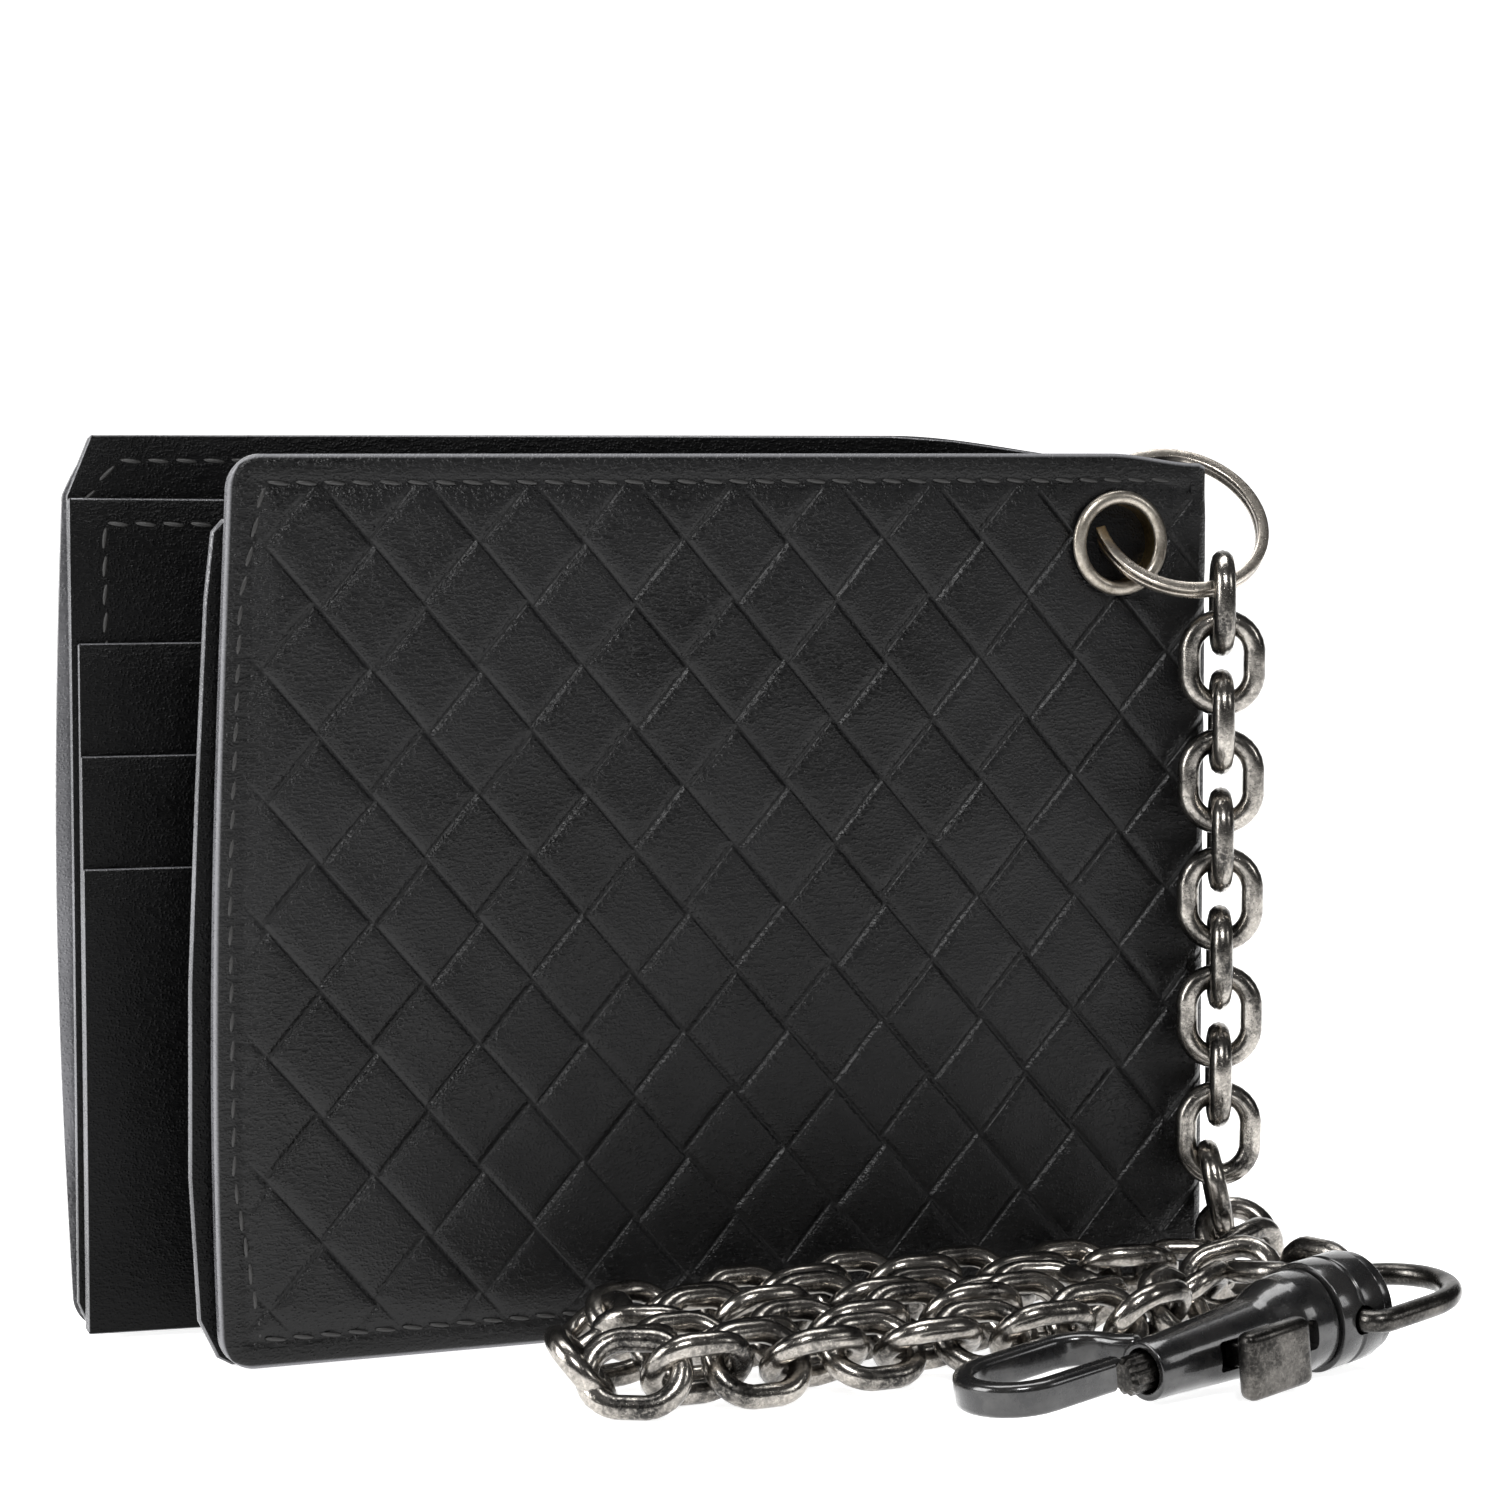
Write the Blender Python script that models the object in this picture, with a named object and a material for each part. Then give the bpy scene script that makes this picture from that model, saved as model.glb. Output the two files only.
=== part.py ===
"""Bifold leather wallet with a link chain and a swivel snap clasp.

It stands on its long edge, a little open. +X runs from the front half to the fold, +Y from the
front half to the rear half, +Z up. The origin is the middle of the fold's foot. Metres.
"""

import math

import bmesh
import bpy
from mathutils import Euler, Matrix, Vector

# Wallet
FRONT_WIDTH = 0.1133
REAR_WIDTH = 0.1240
FRONT_HEIGHT = 0.0950
REAR_HEIGHT = 0.0970
FOLD_DEPTH = 0.0142
OPEN_ANGLE = math.radians(6.0)
GAP = 0.0003

# Leather
COVER_THICK = 0.0014
LINING_THICK = 0.0007
LINING_FOOT = 0.0006
SPINE_THICK = 0.0012
SPINE_DIP = 0.0014
CORNER_RADIUS = 0.0035
SHOULDER_DROP = 0.0065
SHOULDER_RUN = 0.0027
SHELL_TO_POCKET = 0.0067
POCKET_THICK = 0.0009
SLOT_THICK = 0.0007
SLOT_COUNT = 3
SLOT_STEP = 0.0120
FIRST_SLOT_DROP = 0.0155
SLOT_SIDE_INSET = 0.0030
SLOT_FOLD_INSET = 0.0150
BILL_GAP = 0.0006
FRONT_POCKET_THICK = 0.0012
FRONT_POCKET_OVERHANG = 0.0010
FRONT_POCKET_FOLD_INSET = 0.0213

# Eyelet and split ring
EYELET_INSET = 0.0101
EYELET_DROP = 0.0100
EYELET_HOLE_R = 0.0043
EYELET_BARREL_R = 0.0047
EYELET_FLANGE_R = 0.0059
EYELET_FLANGE_THICK = 0.0006
WASHER_THICK = 0.0004
RING_R = 0.00965
RING_WIRE_WIDE = 0.0013
RING_WIRE_DEEP = 0.00085
RING_TURN_GROOVE = 0.0002
RING_FROM_EYELET = Vector((0.0083, 0.0012, 0.0022))
RING_TURN = math.radians(-101.0)
RING_TILT = math.radians(39.6)
RING_HANG_ANGLE = math.radians(-160.0)

# Chain
LINK_LENGTH = 0.0120
LINK_WIDTH = 0.0098
LINK_WIRE_R = 0.00125
HANG_SLACK = 0.0009
HANG_FOOT = 0.0165
LINK_SLACK = 0.00035
LINK_FACE_TURN = math.radians(-25.0)
LAID_RADIUS = 0.0039
LAID_POINTS = 78
LAID_END_GAP = 0.0006

# The laid chain's route, from under the last hanging link to beside the link on the clasp's bow
LAID_ROUTE = [
    (0.0018, -0.0130, 0.0060),
    (0.0046, -0.0154, 0.0044),
    (0.0036, -0.0192, 0.0040),
    (-0.0030, -0.0182, 0.0039),
    (-0.0100, -0.0138, 0.0039),
    (-0.0170, -0.0130, 0.0039),
    (-0.0300, -0.0134, 0.0039),
    (-0.0440, -0.0132, 0.0039),
    (-0.0580, -0.0140, 0.0039),
    (-0.0700, -0.0149, 0.0039),
    (-0.0768, -0.0170, 0.0039),
    (-0.0782, -0.0206, 0.0039),
    (-0.0740, -0.0236, 0.0039),
    (-0.0620, -0.0228, 0.0039),
    (-0.0480, -0.0219, 0.0039),
    (-0.0360, -0.0217, 0.0039),
    (-0.0260, -0.0224, 0.0039),
    (-0.0220, -0.0262, 0.0039),
    (-0.0264, -0.0300, 0.0039),
    (-0.0360, -0.0304, 0.0039),
    (-0.0480, -0.0305, 0.0039),
    (-0.0600, -0.0312, 0.0039),
    (-0.0740, -0.0322, 0.0039),
    (-0.0826, -0.0330, 0.0039),
    (-0.0864, -0.0368, 0.0039),
    (-0.0830, -0.0408, 0.0039),
    (-0.0740, -0.0412, 0.0039),
    (-0.0620, -0.0402, 0.0039),
    (-0.0500, -0.0392, 0.0039),
    (-0.0400, -0.0390, 0.0039),
    (-0.0300, -0.0386, 0.0039),
    (-0.0210, -0.0366, 0.0039),
    (-0.0150, -0.0310, 0.0039),
    (-0.0104, -0.0264, 0.0041),
    (-0.0070, -0.0262, 0.0048),
]

# Clasp: its axis leaves the mouth of the barrel at CLASP_AT and runs back to the swivel
CLASP_AT = Vector((-0.0324, -0.0565, 0.0036))
CLASP_TURN = math.radians(15.0)
CLASP_RISE = math.radians(6.0)
BARREL_MOUTH = -0.0015
BARREL_MOUTH_R = 0.0032
BARREL_WAIST_AT = 0.0130
BARREL_WAIST_R = 0.0039
BARREL_DOME_AT = 0.0180
BARREL_DOME_R = 0.0053
BARREL_END = 0.0212
BOLT_R = 0.0020
BOLT_FIT = 0.0003
BORE_END = 0.0196
BOLT_TIP = -0.0043
BOLT_END = 0.0120
SLOT_WIDE = 0.0032
SLOT_FROM = 0.0062
SLOT_TO = 0.0182
TAB_AT = 0.0095
TAB_STEM_LONG = 0.0036
TAB_STEM_WIDE = 0.0024
TAB_LONG = 0.0088
TAB_TALL = 0.0070
TAB_THICK = 0.0024
TAB_OUT = 0.0064
SPRING_WIRE_R = 0.00028
SPRING_TURNS = 6
HOOK_BAR_WIDE = 0.0022
HOOK_BAR_TALL = 0.0034
HOOK_BAR_LIFT = 0.00075
HOOK_TIP = -0.0046
HOOK_LONG = 0.0138
HOOK_ACROSS = 0.0104
COLLAR_R = 0.0058
COLLAR_LONG = 0.0060
RIVET_R = 0.0017
CAP_R = 0.0054
CAP_THICK = 0.0015
BOW_WIRE_R = 0.0012
BOW_REACH = 0.0155
BOW_PIN_DEPTH = 0.0024
BOW_PIN_FIT = 0.00035
END_LINK_BACK = 0.0088
END_LINK_SHIFT = 0.0005

SEGMENTS = 24
ARC_STEPS = 5

HALF_DEPTH = FOLD_DEPTH / 2
SPINE_INNER = -SPINE_THICK / 3
SPINE_OUTER = SPINE_INNER + SPINE_THICK
FRONT_EDGE = SPINE_INNER - GAP
REAR_EDGE = FRONT_EDGE - HALF_DEPTH * math.sin(OPEN_ANGLE)
HINGE = Vector((SPINE_OUTER, 0.0, 0.0))

EYELET_AT = Vector((FRONT_EDGE - EYELET_INSET, -HALF_DEPTH, FRONT_HEIGHT - EYELET_DROP))
RING_CENTRE = EYELET_AT + RING_FROM_EYELET
RING_SPOKE = Vector((0.0, -math.sin(RING_HANG_ANGLE), math.cos(RING_HANG_ANGLE)))
RING_POSE = Euler((0.0, -RING_TILT, RING_TURN)).to_matrix()

LINK_PITCH = LINK_LENGTH - 4 * LINK_WIRE_R - LINK_SLACK
LINK_DROP = Vector((0.0, 0.0, -LINK_PITCH))
RING_TO_LINK = LINK_LENGTH / 2 - 2 * LINK_WIRE_R - RING_WIRE_WIDE / 2 - HANG_SLACK
HANG_AT = RING_CENTRE + RING_POSE @ RING_SPOKE * RING_R - Vector((0.0, 0.0, RING_TO_LINK))
HANGING_LINKS = 1 + int((HANG_AT.z - HANG_FOOT) / LINK_PITCH)
LAID_FROM = HANG_AT + LINK_DROP * (HANGING_LINKS - 1) - Vector((0.0, 0.0, LINK_LENGTH / 2 + LAID_END_GAP))

CLASP_POSE = Matrix.Translation(CLASP_AT) @ Euler((0.0, -CLASP_RISE, CLASP_TURN)).to_matrix().to_4x4()
COLLAR_FROM = BARREL_END + BOLT_FIT
PIN_AT = COLLAR_FROM + COLLAR_LONG / 2
BOW_ARM = COLLAR_R + 2 * GAP + BOW_WIRE_R
END_LINK_ACROSS = BOW_ARM + (LINK_LENGTH - LINK_WIDTH) / 2 + END_LINK_SHIFT
END_LINK_AT = Vector((PIN_AT + END_LINK_BACK, END_LINK_ACROSS, -END_LINK_SHIFT))
END_LINK_TIP = END_LINK_AT + Vector((0.0, LINK_LENGTH / 2 + LAID_END_GAP, 0.0))
LAID_NEARLY = CLASP_POSE @ (END_LINK_TIP + Vector((0.0, LAID_RADIUS * 0.7, 0.0)))
LAID_TO = CLASP_POSE @ END_LINK_TIP


def clear_scene():
    for old in list(bpy.data.objects):
        bpy.data.objects.remove(old, do_unlink=True)


def make_material(name, colour, roughness, metallic=0.0):
    material = bpy.data.materials.new(name)
    material.use_nodes = True
    shader = material.node_tree.nodes["Principled BSDF"]
    shader.inputs["Base Color"].default_value = (*colour, 1.0)
    shader.inputs["Roughness"].default_value = roughness
    shader.inputs["Metallic"].default_value = metallic
    return material


def make_empty(name, location, rotation=(0.0, 0.0, 0.0)):
    empty = bpy.data.objects.new(name, None)
    empty.location = location
    empty.rotation_euler = rotation
    bpy.context.scene.collection.objects.link(empty)
    return empty


def add_object(name, data, material=None, parent=None):
    piece = bpy.data.objects.new(name, data)
    if material:
        data.materials.append(material)
    piece.parent = parent
    bpy.context.scene.collection.objects.link(piece)
    return piece


def mesh_object(name, bm, material=None, parent=None, smooth=True):
    bmesh.ops.remove_doubles(bm, verts=bm.verts, dist=1e-6)
    bmesh.ops.recalc_face_normals(bm, faces=bm.faces)
    mesh = bpy.data.meshes.new(name)
    bm.to_mesh(mesh)
    bm.free()
    if smooth:
        mesh.shade_smooth()
        mesh.set_sharp_from_angle(angle=math.radians(35))
    return add_object(name, mesh, material, parent)


def boolean(piece, cutter, operation="DIFFERENCE"):
    cutter.hide_render = True
    cutter.display_type = "WIRE"
    modifier = piece.modifiers.new(operation.title(), "BOOLEAN")
    modifier.object = cutter
    modifier.operation = operation
    modifier.solver = "EXACT"


def rounded_outline(corners):
    """Turns (x, z, radius) corners into points, each radius as an arc between its two sides."""
    points = []
    count = len(corners)
    for index, (x, z, radius) in enumerate(corners):
        corner = Vector((x, z))
        if radius == 0.0:
            points.append(corner)
            continue
        before = (Vector(corners[index - 1][:2]) - corner).normalized()
        after = (Vector(corners[(index + 1) % count][:2]) - corner).normalized()
        half = before.angle(after) / 2
        reach = radius / math.tan(half)
        middle = corner + (before + after).normalized() * (radius / math.sin(half))
        start = corner + before * reach - middle
        turn = start.angle_signed(corner + after * reach - middle)
        for step in range(ARC_STEPS + 1):
            spoke = start.copy()
            spoke.rotate(Matrix.Rotation(-turn * step / ARC_STEPS, 2))
            points.append(middle + spoke)
    return points


def sheet(name, corners, y_from, thick, material, parent=None, shift=Vector((0, 0, 0))):
    """A flat piece whose outline lies in XZ, from y_from to y_from + thick."""
    bm = bmesh.new()
    outline = [bm.verts.new((p.x, y_from, p.y)) for p in rounded_outline(corners)]
    face = bm.faces.new(outline)
    grown = bmesh.ops.extrude_face_region(bm, geom=[face])
    raised = [item for item in grown["geom"] if isinstance(item, bmesh.types.BMVert)]
    bmesh.ops.translate(bm, verts=raised, vec=(0, thick, 0))
    bmesh.ops.translate(bm, verts=bm.verts, vec=-shift)
    return mesh_object(name, bm, material, parent, smooth=False)


def block(name, low, high, material=None, parent=None):
    bm = bmesh.new()
    low = Vector(low)
    high = Vector(high)
    place = Matrix.Translation((low + high) / 2) @ Matrix.Diagonal((*(high - low), 1.0))
    bmesh.ops.create_cube(bm, size=1.0, matrix=place)
    return mesh_object(name, bm, material, parent, smooth=False)


def turned(name, profile, material=None, parent=None, closed=False):
    """A shape turned about local X from (x, radius) points; closed joins the last to the first."""
    bm = bmesh.new()
    verts = [bm.verts.new((x, 0.0, radius)) for x, radius in profile]
    edges = [bm.edges.new(pair) for pair in zip(verts, verts[1:])]
    if closed:
        edges.append(bm.edges.new((verts[-1], verts[0])))
    bmesh.ops.spin(
        bm,
        geom=verts + edges,
        axis=(1, 0, 0),
        cent=(0, 0, 0),
        angle=math.tau,
        steps=SEGMENTS,
        use_merge=True,
    )
    return mesh_object(name, bm, material, parent)


def tube(name, points, radius, material, parent=None, cyclic=False, sides=2):
    curve = bpy.data.curves.new(name, "CURVE")
    curve.dimensions = "3D"
    curve.bevel_depth = radius
    curve.bevel_resolution = sides
    curve.use_fill_caps = not cyclic
    spline = curve.splines.new("POLY")
    spline.points.add(len(points) - 1)
    for point, place in zip(spline.points, points):
        point.co = (*place, 1.0)
    spline.use_cyclic_u = cyclic
    spline.use_smooth = True
    return add_object(name, curve, material, parent)


def smooth_route(route, count):
    """Points evenly spaced along a Catmull-Rom curve through the route."""
    knots = [Vector(p) for p in route]
    knots = [2 * knots[0] - knots[1], *knots, 2 * knots[-1] - knots[-2]]
    fine = []
    for a, b, c, d in zip(knots, knots[1:], knots[2:], knots[3:]):
        for step in range(20):
            t = step / 20
            bend = (2 * a - 5 * b + 4 * c - d) * t**2 + (3 * b - a - 3 * c + d) * t**3
            fine.append(0.5 * (2 * b + (c - a) * t + bend))
    fine.append(knots[-2])
    lengths = [0.0]
    for before, after in zip(fine, fine[1:]):
        lengths.append(lengths[-1] + (after - before).length)
    points = []
    index = 0
    for step in range(count):
        wanted = lengths[-1] * step / (count - 1)
        while index < len(fine) - 2 and lengths[index + 1] < wanted:
            index += 1
        share = (wanted - lengths[index]) / (lengths[index + 1] - lengths[index])
        points.append(fine[index].lerp(fine[index + 1], share))
    return points


def link_outline():
    """The wire's centreline in one oval link, long axis along local Z, flat in XZ."""
    bend = LINK_WIDTH / 2 - LINK_WIRE_R
    straight = (LINK_LENGTH - LINK_WIDTH) / 2
    points = []
    for end, start in ((straight, 0.0), (-straight, math.pi)):
        for step in range(7):
            angle = start + math.pi * step / 6
            points.append((bend * math.cos(angle), 0.0, end + bend * math.sin(angle)))
    return points


def build_front_half(leather, inner, lining):
    left = FRONT_EDGE - FRONT_WIDTH
    face = -HALF_DEPTH
    cover = [
        (left, 0.0, CORNER_RADIUS),
        (FRONT_EDGE, 0.0, 0.0),
        (FRONT_EDGE, FRONT_HEIGHT - SPINE_DIP, 0.0),
        (FRONT_EDGE - SPINE_DIP, FRONT_HEIGHT, 0.0),
        (left, FRONT_HEIGHT, CORNER_RADIUS),
    ]
    front_cover = sheet("front_cover", cover, face, COVER_THICK, leather)
    lining_face = face + COVER_THICK + GAP
    lining_corners = [(x, max(z, LINING_FOOT), r) for x, z, r in cover]
    front_lining = sheet("front_lining", lining_corners, lining_face, LINING_THICK, lining)
    for sheet_piece in (front_cover, front_lining):
        hole = turned(
            sheet_piece.name + "_hole",
            [(-0.004, 0.0), (-0.004, EYELET_BARREL_R + GAP), (0.004, EYELET_BARREL_R + GAP), (0.004, 0.0)],
        )
        hole.location = EYELET_AT
        hole.rotation_euler = (0.0, 0.0, math.pi / 2)
        boolean(sheet_piece, hole)
    pocket_left = left - FRONT_POCKET_OVERHANG
    pocket_right = FRONT_EDGE - FRONT_POCKET_FOLD_INSET
    pocket_top = FRONT_HEIGHT - SHELL_TO_POCKET
    pocket_face = lining_face + LINING_THICK + GAP
    pocket = [
        (pocket_left, 0.0, CORNER_RADIUS),
        (pocket_right, 0.0, 0.0),
        (pocket_right, pocket_top, 0.0),
        (pocket_left, pocket_top, CORNER_RADIUS),
    ]
    sheet("front_pocket", pocket, pocket_face, FRONT_POCKET_THICK, inner)
    slip_top = pocket_top - FIRST_SLOT_DROP
    slip = [
        (pocket_left + SLOT_SIDE_INSET, LINING_FOOT, 0.0),
        (pocket_right - SLOT_SIDE_INSET, LINING_FOOT, 0.0),
        (pocket_right - SLOT_SIDE_INSET, slip_top, 0.0),
        (pocket_left + SLOT_SIDE_INSET, slip_top, 0.0),
    ]
    slip_face = pocket_face + FRONT_POCKET_THICK + GAP
    sheet("front_slip_pocket", slip, slip_face, SLOT_THICK, inner)


def build_rear_half(leather, inner, lining):
    """The rear half is drawn closed, parallel to the front half, under an empty on the fold's axis."""
    fold = make_empty("fold_axis", HINGE, (0.0, 0.0, -OPEN_ANGLE))
    left = REAR_EDGE - REAR_WIDTH
    cover = [
        (left, 0.0, CORNER_RADIUS),
        (REAR_EDGE, 0.0, 0.0),
        (REAR_EDGE, REAR_HEIGHT - SPINE_DIP, 0.0),
        (REAR_EDGE - SPINE_DIP, REAR_HEIGHT, 0.0),
        (left + SHOULDER_RUN, REAR_HEIGHT, 0.0),
        (left, REAR_HEIGHT - SHOULDER_DROP, 0.0),
    ]
    cover_face = HALF_DEPTH - COVER_THICK
    sheet("rear_cover", cover, cover_face, COVER_THICK, leather, fold, HINGE)
    lining_face = cover_face - GAP - LINING_THICK
    lining_corners = [(x, max(z, LINING_FOOT), r) for x, z, r in cover]
    sheet("rear_lining", lining_corners, lining_face, LINING_THICK, lining, fold, HINGE)
    pocket_top = REAR_HEIGHT - SHELL_TO_POCKET
    pocket_face = lining_face - BILL_GAP - POCKET_THICK
    pocket = [
        (left, 0.0, CORNER_RADIUS),
        (REAR_EDGE, 0.0, 0.0),
        (REAR_EDGE, pocket_top - SPINE_DIP, 0.0),
        (left, pocket_top, 0.0),
    ]
    sheet("card_pocket_back", pocket, pocket_face, POCKET_THICK, inner, fold, HINGE)
    slot_left = left + SLOT_SIDE_INSET
    slot_right = REAR_EDGE - SLOT_FOLD_INSET
    for index in range(SLOT_COUNT):
        top = pocket_top - FIRST_SLOT_DROP - index * SLOT_STEP
        face = pocket_face - (index + 1) * (GAP + SLOT_THICK)
        slot = [
            (slot_left, LINING_FOOT, 0.0),
            (slot_right, LINING_FOOT, 0.0),
            (slot_right, top, 0.0),
            (slot_left, top, 0.0),
        ]
        sheet(f"card_slot_{index + 1}", slot, face, SLOT_THICK, inner, fold, HINGE)


def build_spine(leather):
    """The shell leather where it bends round the fold; its top dips between the two halves."""
    top = FRONT_HEIGHT - SPINE_DIP
    bm = bmesh.new()
    outline = [
        (-HALF_DEPTH, 0.0),
        (HALF_DEPTH, 0.0),
        (HALF_DEPTH, top),
        (HALF_DEPTH / 2, top - SPINE_DIP),
        (-HALF_DEPTH / 2, top - SPINE_DIP),
        (-HALF_DEPTH, top),
    ]
    face = bm.faces.new([bm.verts.new((SPINE_INNER, y, z)) for y, z in outline])
    grown = bmesh.ops.extrude_face_region(bm, geom=[face])
    raised = [item for item in grown["geom"] if isinstance(item, bmesh.types.BMVert)]
    bmesh.ops.translate(bm, verts=raised, vec=(SPINE_THICK, 0, 0))
    long_edges = [
        edge
        for edge in bm.edges
        if all(v.co.x > SPINE_INNER + SPINE_THICK / 2 and abs(v.co.y) > HALF_DEPTH * 0.9 for v in edge.verts)
        and abs(edge.verts[0].co.z - edge.verts[1].co.z) > top / 2
    ]
    bmesh.ops.bevel(
        bm, geom=long_edges, offset=SPINE_THICK * 0.75, affect="EDGES", segments=3, profile=0.5, material=-1
    )
    mesh_object("spine", bm, leather)


def build_eyelet(metal):
    """A flanged barrel set through the front half, clinched on a washer behind it."""
    barrel_end = COVER_THICK + LINING_THICK + 2 * GAP + WASHER_THICK
    rim = EYELET_FLANGE_THICK
    profile = [
        (-GAP, EYELET_BARREL_R),
        (-GAP, EYELET_FLANGE_R),
        (-GAP - rim / 2, EYELET_FLANGE_R),
        (-GAP - rim, EYELET_FLANGE_R - rim),
        (-GAP - rim, EYELET_HOLE_R + rim / 2),
        (-GAP - rim / 2, EYELET_HOLE_R),
        (barrel_end, EYELET_HOLE_R),
        (barrel_end, EYELET_BARREL_R),
    ]
    eyelet = turned("eyelet", profile, metal, closed=True)
    washer_from = barrel_end - WASHER_THICK
    inside = EYELET_BARREL_R + GAP
    washer = turned(
        "eyelet_washer",
        [
            (washer_from, inside),
            (washer_from, EYELET_FLANGE_R),
            (washer_from + WASHER_THICK, EYELET_FLANGE_R),
            (washer_from + WASHER_THICK, inside),
        ],
        metal,
        closed=True,
    )
    for piece in (eyelet, washer):
        piece.location = EYELET_AT
        piece.rotation_euler = (0.0, 0.0, math.pi / 2)


def build_split_ring(metal):
    """Two flat turns of spring wire side by side, drawn as one ring with a groove between them."""
    inner = RING_R - RING_WIRE_WIDE / 2
    outer = RING_R + RING_WIRE_WIDE / 2
    soft = RING_WIRE_DEEP / 4
    side = RING_WIRE_DEEP
    groove = RING_TURN_GROOVE
    profile = [
        (-side, inner + soft),
        (-side, outer - soft),
        (-side + soft, outer),
        (-soft, outer),
        (0.0, outer - groove),
        (soft, outer),
        (side - soft, outer),
        (side, outer - soft),
        (side, inner + soft),
        (side - soft, inner),
        (soft, inner),
        (0.0, inner + groove),
        (-soft, inner),
        (-side + soft, inner),
    ]
    ring = turned("split_ring", profile, metal, closed=True)
    ring.location = RING_CENTRE
    ring.rotation_euler = (0.0, -RING_TILT, RING_TURN)


def build_chain(metal):
    outline = link_outline()
    for index in range(HANGING_LINKS):
        link = tube(f"chain_link_{index + 1:02d}", outline, LINK_WIRE_R, metal, cyclic=True, sides=1)
        link.location = HANG_AT + LINK_DROP * index
        link.rotation_euler = (0.0, 0.0, LINK_FACE_TURN + math.pi / 2 * ((index + 1) % 2))
    below = Vector((LAID_FROM.x, LAID_FROM.y, LAID_ROUTE[0][2] + LAID_RADIUS))
    route = [LAID_FROM, below, *LAID_ROUTE, LAID_NEARLY, LAID_TO]
    tube("chain_laid", smooth_route(route, LAID_POINTS), LAID_RADIUS, metal)


def hook_outline():
    """The flat bar of the hook in the clasp's own XY: near arm, round end, far arm, root."""
    half = HOOK_BAR_WIDE / 2
    bend = HOOK_ACROSS / 2
    half_turn = [math.pi * k / 8 for k in range(9)]
    round_end = [(-HOOK_LONG - bend * math.sin(t), bend - bend * math.cos(t)) for t in half_turn]
    shoulder = bend * 0.95
    quarter_turn = [math.pi / 2 * k / 4 for k in range(5)]
    root = [
        (shoulder * (math.sin(t) - 1), HOOK_ACROSS - shoulder * (1 - math.cos(t))) for t in quarter_turn
    ]
    points = [(HOOK_TIP, 0.0), *round_end, *root, (HOOK_BAR_WIDE * 0.6, BARREL_MOUTH_R)]
    line = [Vector(p) for p in points]
    left = []
    right = []
    for index, point in enumerate(line):
        ahead = line[min(index + 1, len(line) - 1)] - line[max(index - 1, 0)]
        side = Vector((-ahead.y, ahead.x)).normalized() * half
        left.append(point + side)
        right.append(point - side)
    return left + right[::-1]


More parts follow.
